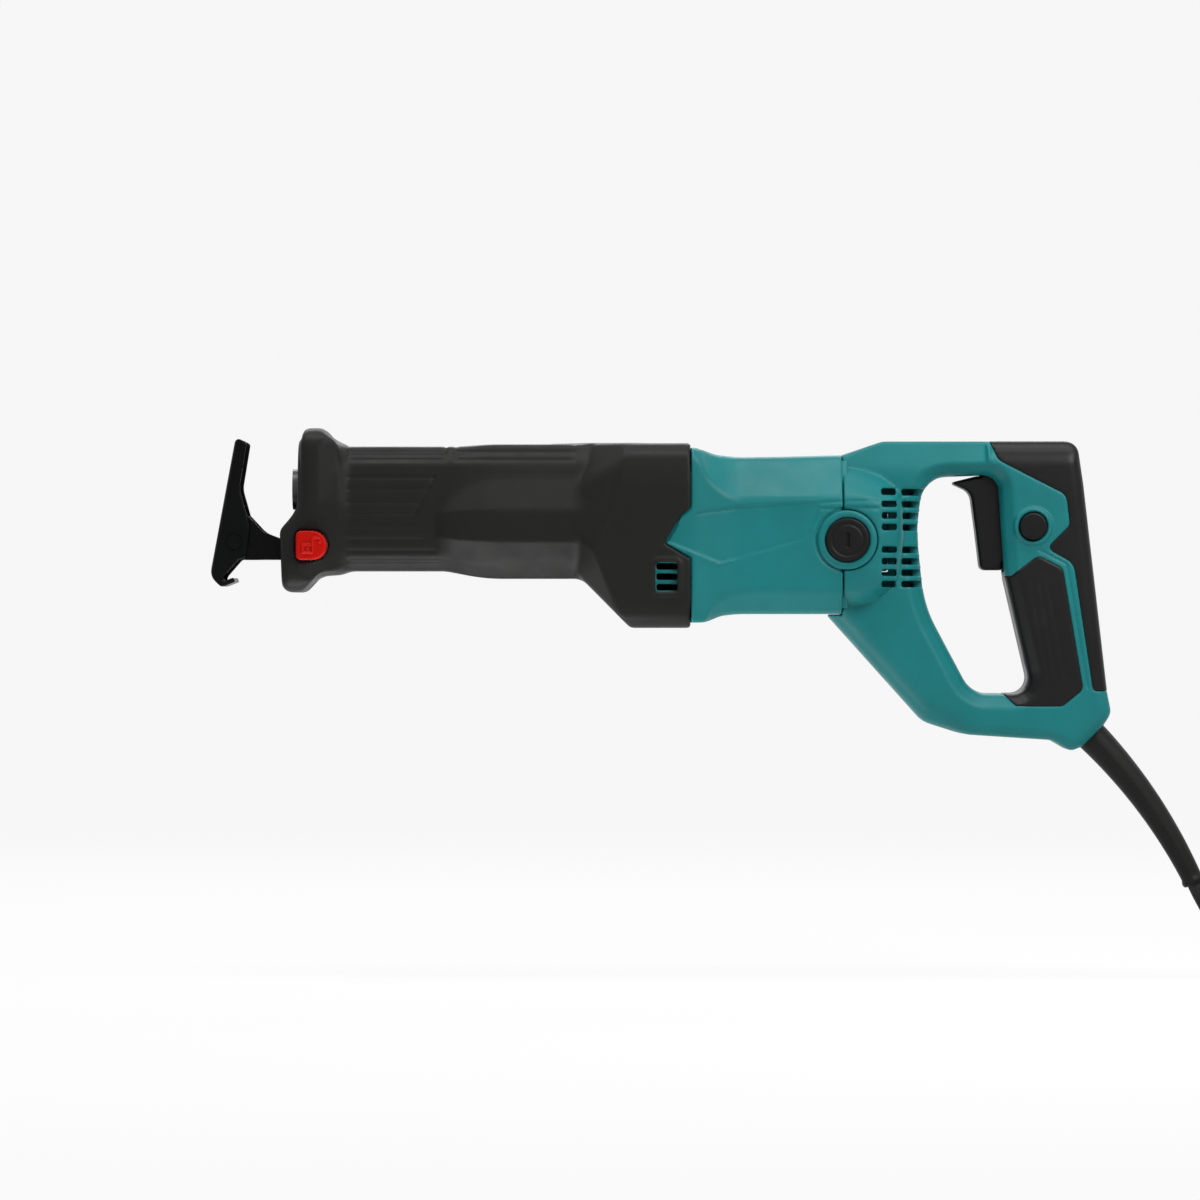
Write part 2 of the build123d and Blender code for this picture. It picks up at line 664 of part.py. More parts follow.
def make_counterweight():
    top = DISC_TOP + COUNTERWEIGHT_HEIGHT
    ring = tube_z(GEAR_DISC_RADIUS - 0.6, COUNTERWEIGHT_BORE, DISC_TOP, top, CRANK_X)
    return ring - block(CRANK_X - FAR, CRANK_X + FAR, COUNTERWEIGHT_EDGE_Y, FAR, DISC_TOP - PAST, top + PAST)


def make_gear_bearing(low):
    return tube_z(GEAR_BEARING_RADIUS, GEAR_SHAFT_RADIUS + RUN_FIT, low, low + GEAR_BEARING_HEIGHT, CRANK_X)


# Front casing
HOUSING_SCREWS = [(33.0, 58.0), (-33.0, 58.0), (35.0, 2.0), (-35.0, 2.0)]
SCREW_REACH = 3.5
SCREW_BOSS_RADIUS = 6.0
SCREW_BOSS_LENGTH = 12.0
CASING_SCREW_RADIUS = 2.5
CASING_SCREW_HEAD = 4.2
CASING_SCREW_HEIGHT = 3.0
CASING_SCREW_SOCKET = 2.0
CASING_SCREW_SOCKET_FLOOR = 1.2


def make_gear_housing():
    whole = casing_loft(BOOT_STATIONS, BOOT_WALL)
    hollow = casing_loft(BOOT_STATIONS, BOOT_WALL + HOUSING_WALL)
    housing = whole & slab(HOUSING_FRONT_X, PLATE_FRONT_X)
    housing -= hollow & slab(CAVITY_FRONT_X, PLATE_FRONT_X + PAST)
    bush_end = BUSH_FRONT_X + BUSH_LENGTH
    housing += slider_rod(BUSH_RADIUS + BUSH_WALL, CAVITY_FRONT_X - PAST, bush_end) & whole
    well_top = GEAR_BEARING_HIGH_Z + GEAR_BEARING_HEIGHT
    housing += rod_z(GEAR_BEARING_RADIUS + GEAR_WELL_WALL, 0, well_top, CRANK_X) & whole
    guide_out = YOKE_HALF + RUN_FIT + GUIDE_SHEET
    ledge = block(CRANK_X - GUIDE_FRONT, CRANK_X + GUIDE_REAR, guide_out, FAR,
                  SLIDER_Z - GUIDE_LEDGE_HALF, SLIDER_Z + GUIDE_LEDGE_HALF)
    for side in both_sides(ledge):
        housing += side & whole & slab(CAVITY_FRONT_X, PLATE_FRONT_X)
    for y, z in HOUSING_SCREWS:
        housing += rod_x(SCREW_BOSS_RADIUS, PLATE_FRONT_X - SCREW_BOSS_LENGTH, PLATE_FRONT_X, y, z) & whole
    housing = cut_shoe_cradle(housing)
    housing -= slider_rod(SLEEVE_RADIUS + SLEEVE_ROOM, CRADLE_FRONT_X - PAST, BUSH_FRONT_X - SEAL_WIDTH)
    housing -= slider_rod(BUSH_RADIUS, BUSH_FRONT_X - SEAL_WIDTH, bush_end + PAST)
    housing -= rod_z(GEAR_BEARING_RADIUS, GEAR_BEARING_LOW_Z, GEAR_HUB_LOW + PAST, CRANK_X)
    for y, z in HOUSING_SCREWS:
        hole_front = PLATE_FRONT_X - SCREW_REACH - 0.3
        housing -= rod_x(CASING_SCREW_RADIUS + SCREW_FIT, hole_front, PLATE_FRONT_X + PAST, y, z)
    return housing


def cut_shoe_cradle(housing):
    """Adds the cradle in the mouth, with the channel the shoe's rail slides in."""
    half = MOUTH_HALF - CRADLE_GAP
    floor = RAIL_BOTTOM - SLIDE_FIT
    front = CRADLE_FRONT_X - PAST
    housing += block(CRADLE_FRONT_X, HOUSING_FRONT_X + 2, -half, half, floor - CRADLE_FLOOR, CRADLE_TOP)
    rail_half = SHOE_HALF - SHOE_SHEET
    housing -= block(front, CAVITY_FRONT_X + 5, -rail_half, rail_half, floor, RAIL_TOP + SLIDE_FIT)
    housing -= block(front, HOUSING_FRONT_X, -SLEEVE_ROOM_HALF, SLEEVE_ROOM_HALF, RAIL_TOP, SLIDER_Z - 11)
    return housing - rod_y(LOCK_SHAFT_RADIUS + SLIDE_FIT, -FAR, FAR, LOCK_X, LOCK_SHAFT_Z)


def make_bearing_plate():
    plate = casing_loft(BOOT_STATIONS, BOOT_WALL) & slab(PLATE_FRONT_X, PLATE_REAR_X)
    front = PLATE_FRONT_X - PAST
    rear = PLATE_REAR_X + PAST
    plate -= motor_rod(FRONT_BEARING_RADIUS, PLATE_REAR_X - FRONT_BEARING_WIDTH, rear)
    plate -= motor_rod(SHAFT_RADIUS + SHAFT_ROOM, front, rear)
    for y, z in HOUSING_SCREWS:
        plate -= rod_x(CASING_SCREW_RADIUS + SCREW_FIT, front, rear, y, z)
    return plate


def make_housing_screws():
    seat = PLATE_REAR_X + LUG_LENGTH
    top = seat + CASING_SCREW_HEIGHT
    screws = []
    for y, z in HOUSING_SCREWS:
        screw = rod_x(CASING_SCREW_HEAD, seat, top, y, z)
        screw -= rod_x(CASING_SCREW_SOCKET, seat + CASING_SCREW_SOCKET_FLOOR, top + PAST, y, z)
        screw += rod_x(CASING_SCREW_RADIUS, PLATE_FRONT_X - SCREW_REACH, seat, y, z)
        screws.append(screw)
    return Compound(screws)


FLANGE_OUTLINE = [
    (-369.5, 81.6), (-360.5, 81.6), (-352, 72), (-352, 10), (-362.0, 8.6), (-370.5, -1.3),
    (-380.5, -1.3), (-381.7, 30.0), (-371.3, 42.0), (-371.3, 74),
]
FLANGE_RADII = [4, 4, 3, 3, 8, 5, 5, 6, 8, 10]
NOTCH_OUTLINE = [(-170.0, 45.4), (-180.8, 37.4), (-189.1, 23.2), (-170, 11.9)]
NOTCH_RADII = [1.0, 1.5, 1.5, 1.0]
SIDE_CUT_HALF = 40.0
SIDE_CUT_Y = 70.0
BOOT_WINDOW = [(-194.9, 16.5), (-181.4, 16.5), (-181.4, -1.7), (-194.9, -1.7)]


def make_boot():
    boot = casing_loft(BOOT_STATIONS)
    flange = side_prism(FLANGE_OUTLINE, FLANGE_RADII, FLANGE_HALF)
    flange_front = RectangleRounded(2 * FLANGE_HALF, FLANGE_HEIGHT, FLANGE_ROUND)
    front_x = HOUSING_FRONT_X - FLANGE_DEPTH
    boot += flange & extrude(cross_plane(front_x, 0, FLANGE_Z) * flange_front, 2 * FLANGE_DEPTH)
    boot -= casing_loft(BOOT_STATIONS, BOOT_WALL) & slab(HOUSING_FRONT_X, 0)
    mouth = RectangleRounded(2 * MOUTH_HALF, MOUTH_HEIGHT, MOUTH_ROUND)
    boot -= extrude(cross_plane(front_x, 0, MOUTH_Z) * mouth, FLANGE_DEPTH + 0.5)
    points, radii = lock_cap_outline(SLIDE_FIT)
    boot -= side_prism(points, radii, FAR)
    for side in (-SIDE_CUT_Y, SIDE_CUT_Y):
        boot -= side_prism(NOTCH_OUTLINE, NOTCH_RADII, SIDE_CUT_HALF, side)
        boot -= side_prism(BOOT_WINDOW, [1.5] * 4, SIDE_CUT_HALF, side)
    return boot


# Motor
def make_armature_shaft():
    shaft = motor_rod(SHAFT_RADIUS, PLATE_FRONT_X - SHAFT_REACH, COMMUTATOR_REAR_X)
    end = REAR_BEARING_X + REAR_BEARING_WIDTH / 2 + 1
    shaft += motor_rod(SHAFT_REAR_RADIUS, COMMUTATOR_REAR_X, end)
    gear_x = CRANK_X + GEAR_PITCH
    root = PINION_PITCH - 1.2 * TOOTH_MODULE
    start = gear_x - GEAR_FACE / 2
    shaft += motor_rod(root, start, PLATE_FRONT_X)
    foot = 0.55 * TOOTH_MODULE
    tip = 0.3 * TOOTH_MODULE
    tooth_face = Plane.YZ * make_face(Polyline(
        (-foot, root - 0.4), (foot, root - 0.4), (tip, PINION_PITCH + 0.8 * TOOTH_MODULE),
        (-tip, PINION_PITCH + 0.8 * TOOTH_MODULE), close=True))
    tooth = extrude(tooth_face, GEAR_FACE)
    half_tooth = 180 / PINION_TEETH
    teeth = [
        Pos(start, 0, MOTOR_Z) * Rot(360 * step / PINION_TEETH + half_tooth, 0, 0) * tooth
        for step in range(PINION_TEETH)
    ]
    return shaft + teeth


def make_armature_core():
    core = motor_tube(CORE_RADIUS, SHAFT_RADIUS, CORE_FRONT_X, CORE_REAR_X)
    slot = block(CORE_FRONT_X - PAST, CORE_REAR_X + PAST, -ARMATURE_SLOT_HALF, ARMATURE_SLOT_HALF,
                 CORE_RADIUS - ARMATURE_SLOT_DEPTH, CORE_RADIUS + PAST)
    for step in range(ARMATURE_SLOTS):
        core -= Pos(0, 0, MOTOR_Z) * Rot(step * 360 / ARMATURE_SLOTS, 0, 0) * slot
    return core


def round_outer_edge(ring, end):
    """Rounds the larger circle at the first (0) or last (-1) end of a ring along X."""
    circles = ring.edges().filter_by(GeomType.CIRCLE).group_by(Axis.X)[end]
    return fillet(circles.sort_by(SortBy.RADIUS)[-1], WINDING_ROUND)


def make_armature_winding():
    radius = CORE_RADIUS - ARMATURE_SLOT_DEPTH
    front = motor_tube(radius, SHAFT_RADIUS, CORE_FRONT_X - WINDING_REACH, CORE_FRONT_X)
    rear = motor_tube(radius, SHAFT_RADIUS, CORE_REAR_X, COMMUTATOR_FRONT_X)
    return Compound([round_outer_edge(front, 0), round_outer_edge(rear, -1)])


def make_commutator():
    ring = motor_tube(COMMUTATOR_RADIUS, SHAFT_RADIUS, COMMUTATOR_FRONT_X, COMMUTATOR_REAR_X)
    half = COMMUTATOR_GAP / 2
    gap = block(COMMUTATOR_FRONT_X + COMMUTATOR_RISER, COMMUTATOR_REAR_X + PAST, -half, half,
                COMMUTATOR_RADIUS - COMMUTATOR_GAP_DEPTH, COMMUTATOR_RADIUS + PAST)
    for step in range(COMMUTATOR_BARS):
        ring -= Pos(0, 0, MOTOR_Z) * Rot(step * 360 / COMMUTATOR_BARS, 0, 0) * gap
    return ring


def make_fan():
    rear = FAN_FRONT_X + FAN_DEPTH
    fan = motor_tube(FAN_HUB_RADIUS, SHAFT_RADIUS, FAN_FRONT_X, rear)
    fan += motor_tube(FAN_RADIUS, SHAFT_RADIUS, FAN_FRONT_X, FAN_FRONT_X + FAN_DISC)
    blade = block(FAN_FRONT_X + FAN_DISC / 2, rear, -FAN_BLADE_HALF, FAN_BLADE_HALF,
                  FAN_BLADE_INNER, FAN_RADIUS - 0.5)
    blades = [
        Pos(0, 0, MOTOR_Z) * Rot(360 * step / FAN_BLADES, 0, 0) * blade
        for step in range(FAN_BLADES)
    ]
    return fan + blades


def make_front_bearing():
    front = PLATE_REAR_X - FRONT_BEARING_WIDTH
    return motor_tube(FRONT_BEARING_RADIUS, SHAFT_RADIUS + RUN_FIT, front, PLATE_REAR_X)


def make_rear_bearing():
    half = REAR_BEARING_WIDTH / 2
    return motor_tube(REAR_BEARING_RADIUS, SHAFT_REAR_RADIUS + RUN_FIT, REAR_BEARING_X - half,
                      REAR_BEARING_X + half)


def make_bearing_rubber_ring():
    half = REAR_BEARING_WIDTH / 2
    return motor_tube(REAR_BEARING_RADIUS + RUBBER_RING_WALL, REAR_BEARING_RADIUS, REAR_BEARING_X - half,
                      REAR_BEARING_X + half)


def field_sector(outer, inner, x0, x1, start, sweep_angle):
    """Part of a ring about the motor axis, its angle measured from +Y towards +Z."""
    reach = 2 * outer
    first = math.radians(start)
    middle = math.radians(start + sweep_angle / 2)
    last = math.radians(start + sweep_angle)
    corners = [(0, 0)]
    for angle in (first, middle, last):
        corners.append((reach * math.cos(angle), reach * math.sin(angle)))
    wedge = make_face(Polyline(*corners, close=True))
    return extrude(cross_plane(x0, 0, MOTOR_Z) * ((Circle(outer) - Circle(inner)) & wedge), x1 - x0)


def coil_slots(start):
    """Start angles of the two slots that one field coil lies in."""
    return start, start + FIELD_COIL_SPAN - FIELD_SLOT_SPAN


def field_coil_sector(x0, x1, start, sweep_angle):
    return field_sector(FIELD_COIL_OUT, FIELD_COIL_IN, x0, x1, start, sweep_angle)


def make_field_core():
    core = motor_tube(FIELD_RADIUS, FIELD_BORE, CORE_FRONT_X, CORE_REAR_X)
    for coil_start in (FIELD_COIL_START, FIELD_COIL_START + 180):
        for start in coil_slots(coil_start):
            core -= field_coil_sector(CORE_FRONT_X - PAST, CORE_REAR_X + PAST, start, FIELD_SLOT_SPAN)
    return core


def make_field_coils():
    front = CORE_FRONT_X - FIELD_COIL_REACH
    rear = CORE_REAR_X + FIELD_COIL_REACH
    coils = []
    for coil_start in (FIELD_COIL_START, FIELD_COIL_START + 180):
        coil = field_coil_sector(front, CORE_FRONT_X, coil_start, FIELD_COIL_SPAN)
        coil += field_coil_sector(CORE_REAR_X, rear, coil_start, FIELD_COIL_SPAN)
        for start in coil_slots(coil_start):
            coil += field_coil_sector(front, rear, start, FIELD_SLOT_SPAN)
        coils.append(coil)
    return Compound(coils)


def motor_hollow():
    sections = [
        casing_section(PLATE_REAR_X - PAST, FLARE_SIDE, BOOT_WALL + SHELL_WALL),
        casing_section(BOOT_END_X, FLARE_SIDE, BOOT_WALL + SHELL_WALL),
        casing_section(MOTOR_WAIST_X, MOTOR_MIDDLE_SIDE, SHELL_WALL),
        casing_section(SEAM_X + PAST, MOTOR_REAR_SIDE, SHELL_WALL),
    ]
    return loft(sections, ruled=True)


def make_baffle():
    rear = CORE_FRONT_X - BAFFLE_GAP
    plate = motor_hollow() & slab(rear - BAFFLE_SHEET, rear)
    return plate - motor_rod(BAFFLE_BORE, PLATE_REAR_X, SEAM_X)


SIDE_VENT_ROWS = [11.8, 6.7, 1.3]


def make_motor_housing():
    sleeve = casing_loft([(PLATE_REAR_X, FLARE_SIDE), (BOOT_END_X, FLARE_SIDE)], BOOT_WALL)
    sleeve += casing_loft([(BOOT_END_X - 1, FLARE_SIDE), (BOOT_END_X + 2, FLARE_SIDE)], BOOT_WALL)
    body = casing_loft(MOTOR_STATIONS)
    hollow = motor_hollow()
    housing = sleeve + body
    pad = casing_loft([(SIDE_VENT_FRONT_X, FLARE_SIDE), (BOOT_END_X + 2, FLARE_SIDE)])
    for side in (-SIDE_CUT_Y, SIDE_CUT_Y):
        arrow = side_prism(NOTCH_OUTLINE, NOTCH_RADII, SIDE_CUT_HALF, side)
        arrow = arrow & slab(PLATE_REAR_X, BOOT_END_X + 1.5)
        housing += (Pos(1.0, 0, 0) * arrow) & pad
    housing -= hollow
    seats = slab(CORE_FRONT_X + SEAT_GAP, CORE_FRONT_X + SEAT_GAP + SEAT_WIDTH)
    seats += slab(CORE_REAR_X - SEAT_GAP - SEAT_WIDTH, CORE_REAR_X - SEAT_GAP)
    housing += (hollow & seats) - motor_rod(FIELD_RADIUS, PLATE_REAR_X, SEAM_X)
    lug_end = PLATE_REAR_X + LUG_LENGTH
    for y, z in HOUSING_SCREWS:
        lug = rod_x(LUG_RADIUS, PLATE_REAR_X, lug_end, y, z)
        lug += block(PLATE_REAR_X, lug_end, min(y, 1.4 * y), max(y, 1.4 * y), z - LUG_HALF, z + LUG_HALF)
        housing += lug & sleeve
        housing -= rod_x(CASING_SCREW_RADIUS + SCREW_FIT, PLATE_REAR_X - PAST, lug_end + PAST, y, z)
    housing += body & slab(SEAM_X - END_WALL, SEAM_X)
    housing = add_brush_bosses(add_rear_tube(housing))
    for z in SIDE_VENT_ROWS:
        housing -= block(SIDE_VENT_FRONT_X, SIDE_VENT_REAR_X, -FAR, FAR,
                         z - SIDE_VENT_HALF, z + SIDE_VENT_HALF)
    return housing


def add_rear_tube(housing):
    """Adds the tube round the commutator, with the rear bearing's hub and its air holes."""
    floor_x = REAR_TUBE_END_X - REAR_TUBE_FLOOR
    hub_x = REAR_BEARING_X + REAR_BEARING_WIDTH / 2
    housing += motor_rod(REAR_TUBE_RADIUS, SEAM_X - END_WALL + 0.5, REAR_TUBE_END_X)
    housing -= motor_rod(REAR_TUBE_RADIUS - REAR_TUBE_WALL, SEAM_X - 10, floor_x)
    housing += motor_rod(REAR_BEARING_RADIUS + HUB_WALL, floor_x, hub_x + HUB_LIP)
    housing -= motor_rod(REAR_BEARING_RADIUS + RUBBER_RING_WALL, floor_x - PAST, hub_x)
    housing -= motor_rod(SHAFT_REAR_RADIUS + SHAFT_ROOM, floor_x - PAST, hub_x + HUB_LIP + PAST)
    for step in range(4):
        hole = rod_x(REAR_VENT_RADIUS, floor_x - PAST, REAR_TUBE_END_X + PAST, 0, REAR_VENT_OUT)
        housing -= Pos(0, 0, MOTOR_Z) * Rot(45 + step * 90, 0, 0) * hole
    return housing


def add_brush_bosses(housing):
    for boss in both_sides(rod_y(BRUSH_BOSS_RADIUS, BRUSH_BOSS_IN, BRUSH_BOSS_OUT, BRUSH_X, MOTOR_Z)):
        housing += boss
    bore = rod_y(BRUSH_BORE, BRUSH_BORE_IN, FAR, BRUSH_X, MOTOR_Z)
    bore += rod_y(BRUSH_CAP_RADIUS + 0.1, BRUSH_BOSS_OUT - CAP_SEAT, FAR, BRUSH_X, MOTOR_Z)
    for cut in both_sides(bore):
        housing -= cut
    return housing


def brush_block(inner, outer, grow):
    """The brush's own section between two distances from the middle plane."""
    half_length = BRUSH_HALF_LENGTH + grow
    half_height = BRUSH_HALF_HEIGHT + grow
    return block(BRUSH_X - half_length, BRUSH_X + half_length, inner, outer,
                 MOTOR_Z - half_height, MOTOR_Z + half_height)


def make_brush_holders():
    holder = rod_y(BRUSH_HOLDER_RADIUS, BRUSH_HOLDER_IN, BRUSH_HOLDER_OUT, BRUSH_X, MOTOR_Z)
    holder -= brush_block(BRUSH_BORE_IN, BRUSH_POCKET_OUT, RUN_FIT)
    holder -= rod_y(BRUSH_SPRING_RADIUS + 0.4, BRUSH_BORE_IN, FAR, BRUSH_X, MOTOR_Z)
    return Compound(both_sides(holder))


def make_carbon_brushes():
    brush = brush_block(BRUSH_IN, BRUSH_OUT, 0.0)
    brush -= motor_rod(COMMUTATOR_RADIUS + RUN_FIT, COMMUTATOR_FRONT_X, COMMUTATOR_REAR_X)
    return Compound(both_sides(brush))


def make_brush_springs():
    inner = BRUSH_SPRING_RADIUS - BRUSH_SPRING_WIRE
    spring = tube_y(BRUSH_SPRING_RADIUS, inner, BRUSH_OUT, BRUSH_SPRING_OUT, BRUSH_X, MOTOR_Z)
    return Compound(both_sides(spring))


def make_brush_caps():
    face = BRUSH_BOSS_OUT + CAP_HEIGHT
    cap = rod_y(BRUSH_CAP_RADIUS, BRUSH_BOSS_OUT - CAP_SEAT, face, BRUSH_X, MOTOR_Z)
    cap = fillet(cap.edges().filter_by(GeomType.CIRCLE).group_by(Axis.Y)[-1], CAP_ROUND)
    cap += rod_y(CAP_STEM_RADIUS, BRUSH_SPRING_OUT, BRUSH_BOSS_OUT - 2, BRUSH_X, MOTOR_Z)
    cap -= block(BRUSH_X - CAP_SLOT_HALF, BRUSH_X + CAP_SLOT_HALF, face - CAP_SLOT_DEPTH, FAR,
                 MOTOR_Z - CAP_SLOT_REACH, MOTOR_Z + CAP_SLOT_REACH)
    return Compound(both_sides(cap))


# Handle
HANDLE_OUTLINE = [
    (-112.0, 66.0), (-100.0, 67.9), (-79.2, 74.9), (19.0, 74.9), (22.2, 53.0), (34.0, -50.0), (36.4, -62.0),
    (32.6, -68.0), (21.7, -78.9), (15.8, -81.2), (6.3, -75.6), (-38.6, -72.7), (-58.0, -66.5),
    (-106.0, -13.0), (-112.0, 0.0),
]
HANDLE_RADII = [7, 8, 12, 7, 60, 50, 7, 7, 7, 7, 8, 40, 14, 8, 8]
OPENING_OUTLINE = [
    (-61.4, 30.0), (-58.0, 57.0), (-20.8, 58.3), (-17.4, 8.0), (-3.4, -52.2), (-34.0, -52.2), (-57.5, -8.0),
]
OPENING_RADII = [80, 14, 8, 20, 8, 14, 60]
REAR_COVER_OUTLINE = [
    (-25.1, 80), (-25.1, 75), (-20.6, 65.4), (13.4, 48.1), (15.3, 32.7), (3.7, 21.1), (17.2, 13.4),
    (26.9, -50.7), (60.0, -50.7), (60.0, 80.0),
]
REAR_COVER_RADII = [1, 3, 4, 6, 4, 2.5, 8, 2, 1, 1]
FRONT_COVER_OUTLINE = [
    (-0.8, 17.3), (-14.2, 7.0), (-30.0, 7.0), (-30.0, -40.0), (-12.0, -58.4), (11.5, -58.4), (21.7, -50.0),
    (11.5, 10.9),
]
FRONT_COVER_RADII = [4, 1, 1, 1, 3, 5, 4, 5]
TRIGGER_OUTLINE = [
    (-44.5, 54.2), (-31.0, 57.6), (-29.0, 57.4), (-29.0, 68.3), (-18.7, 68.3), (-17.0, 46.0), (-10.0, 46.0),
    (-10.0, 14.0), (-17.9, 14.0), (-17.9, 10.0), (-29.2, 10.0), (-31.6, 30.0), (-34.2, 49.5),
]
TRIGGER_RADII = [0.8, 8, 0.4, 4.5, 4.5, 2, 2, 2, 1, 1.5, 3, 60, 7]
TRIGGER_ROOM = [(-30.0, -4.5, 9.0, 54.0), (-30.0, -15.4, 54.0, 69.6)]
COVER_ROOM = (-30.0, -4.5, 8.0, 54.0)
TRIGGER_HOLLOWS = [(-27.5, -12.5, 12.5, 43.0), (-30.0, -9.0, 14.5, 25.0)]
SADDLES = [-38.0, -20.0]
VENT_ROWS = [49.2, 43.1, 37.3, 31.4, 20.2, 14.4, 8.7, 3.0]
HANDLE_SCREWS = [(-64.0, 66.5), (-6.0, 66.5), (2.5, -30.0), (-8.0, -62.5), (-50.0, -57.5), (-80.0, -27.0)]


def handle_plate(distance):
    """The D-shaped part of the handle, moved inwards all round by a distance."""
    face = side_face(HANDLE_OUTLINE, HANDLE_RADII) - side_face(OPENING_OUTLINE, OPENING_RADII)
    if distance > 0:
        face = offset(face, -distance)
    plate = extrude(face, HANDLE_HALF - distance, both=True)
    rims = plate.edges().group_by(Axis.Y)
    return fillet(list(rims[0]) + list(rims[-1]), max(HANDLE_ROUND - distance, 1.0))


def guard_frame(piece):
    """Places a piece made along +Z so that it leaves the heel of the handle."""
    return Pos(GUARD_START_X, 0, GUARD_START_Z) * Rot(0, 90 + GUARD_START_ANGLE, 0) * piece


def handle_body():
    plate = handle_plate(0.0) & slab(SEAM_X, FAR)
    return plate + casing_loft(CAP_STATIONS)


def across(x0, x1, z0, z1, half):
    """A block between side-view limits, even about the middle plane."""
    return block(x0, x1, -half, half, z0, z1)


def make_handle_shells(covers):
    whole = handle_body()
    hollow = handle_plate(HANDLE_WALL) & slab(SEAM_X - PAST, FAR)
    cap = [(x - 2.5 if side is CAP_END_SIDE else x, side) for x, side in CAP_STATIONS]
    hollow += casing_loft(cap, SHELL_WALL)
    inside = whole & hollow
    shell = whole - hollow
    rib = inside & slab(HANDLE_RIB_FRONT_X, HANDLE_RIB_FRONT_X + HANDLE_RIB)
    shell += rib - motor_rod(REAR_TUBE_RADIUS, SEAM_X, BUTTON_X)
    for x, z in HANDLE_SCREWS:
        shell += rod_y(HANDLE_BOSS_RADIUS, -FAR, FAR, x, z) & whole
    shell = add_handle_seats(shell, inside)
    boss_in = TRIGGER_HALF + TRIGGER_SIDE_GAP
    boss = tube_y(TRIGGER_BOSS_RADIUS, TRIGGER_PIN_RADIUS, boss_in, FAR, TRIGGER_PIVOT_X, TRIGGER_PIVOT_Z)
    for side in both_sides(boss):
        shell += side & whole
    ring_out = -HANDLE_HALF - BUTTON_RING_HEIGHT
    shell += rod_y(BUTTON_RING_RADIUS, ring_out, -HANDLE_HALF + HANDLE_WALL, BUTTON_X, BUTTON_Z)
    return cut_handle_openings(shell, covers)


def add_handle_seats(shell, inside):
    """Adds the seats of the switch, the cord clamp and the capacitor to the inside of the shells."""
    seat_in = 5.0
    shelf = block(-20.0, SWITCH_REAR_X + 2.5, seat_in, FAR, SWITCH_LOW - SWITCH_SHELF, SWITCH_LOW)
    shelf += block(SWITCH_REAR_X, FAR, seat_in, FAR, SWITCH_LOW, SWITCH_HIGH)
    post = rod_x(CLAMP_POST_RADIUS, -20.0, CLAMP_FRONT_X, CLAMP_SCREW_Y, CLAMP_Z)
    for seat in (shelf, post):
        for side in both_sides(seat):
            shell += side & inside
    for x in SADDLES:
        saddle = across(x, x + SADDLE_SHEET, -FAR, CAPACITOR_Z, FAR) & inside
        shell += saddle - rod_x(CAPACITOR_RADIUS, -FAR, FAR, 0, CAPACITOR_Z)
    return shell


def cut_handle_openings(shell, covers):
    room_half = TRIGGER_HALF + TRIGGER_SIDE_GAP
    shell -= extrude(offset(side_face(TRIGGER_OUTLINE, TRIGGER_RADII), TRIGGER_GAP), room_half, both=True)
    for room in TRIGGER_ROOM:
        shell -= across(*room, room_half)
    pin_out = HANDLE_HALF - TRIGGER_PIN_COVER
    shell -= rod_y(TRIGGER_PIN_RADIUS, -pin_out, pin_out, TRIGGER_PIVOT_X, TRIGGER_PIVOT_Z)
    shell -= rod_y(BUTTON_RADIUS + SLIDE_FIT, -FAR, -10, BUTTON_X, BUTTON_Z)
    for side in both_sides(rod_y(BRUSH_BOSS_RADIUS + SLIDE_FIT, 15, FAR, BRUSH_X, MOTOR_Z)):
        shell -= side
    for z in VENT_ROWS:
        for x0, x1 in VENT_SPANS:
            for side in both_sides(block(x0, x1, VENT_IN, FAR, z - VENT_HALF, z + VENT_HALF)):
                shell -= side
    shell -= guard_frame(Pos(0, 0, -2) * Cylinder(GUARD_NECK + GUARD_FIT, 8))
    collar_room = Cylinder(GUARD_COLLAR + GUARD_FIT, GUARD_COLLAR_LENGTH + 2 * GUARD_FIT)
    shell -= guard_frame(Pos(0, 0, GUARD_COLLAR_MIDDLE) * collar_room)
    for x, z in HANDLE_SCREWS:
        shell -= rod_y(HANDLE_SCREW_RADIUS + SCREW_FIT, -HANDLE_HALF + 4, FAR, x, z)
        shell -= rod_y(HANDLE_SCREW_HEAD + SLIDE_FIT, HANDLE_HALF - HANDLE_SCREW_SINK, FAR, x, z)
    for side in both_sides(rod_x(CLAMP_SCREW_RADIUS + SCREW_FIT, 2.0, 20.0, CLAMP_SCREW_Y, CLAMP_Z)):
        shell -= side
    for cover in covers:
        shell -= cover
    return shell


def make_grip_cover(outline, radii):
    region = side_prism(outline, radii, FAR)
    cover = (handle_plate(0.0) & region) - handle_plate(COVER_WALL)
    cover -= across(*COVER_ROOM, TRIGGER_HALF + TRIGGER_SIDE_GAP)
    for x, z in HANDLE_SCREWS:
        cover -= rod_y(HANDLE_SCREW_HEAD + SLIDE_FIT, 0, FAR, x, z)
    return cover


def make_handle_screws():
    seat = HANDLE_HALF - HANDLE_SCREW_SINK
    top = seat + HANDLE_SCREW_HEIGHT
    screws = []
    for x, z in HANDLE_SCREWS:
        screw = rod_y(HANDLE_SCREW_HEAD, seat, top, x, z)
        screw -= rod_y(HANDLE_SCREW_SOCKET, top - HANDLE_SCREW_SOCKET_DEPTH, FAR, x, z)
        screw += rod_y(HANDLE_SCREW_RADIUS, -HANDLE_HALF + 5, seat, x, z)
        screws.append(screw)
    return Compound(screws)


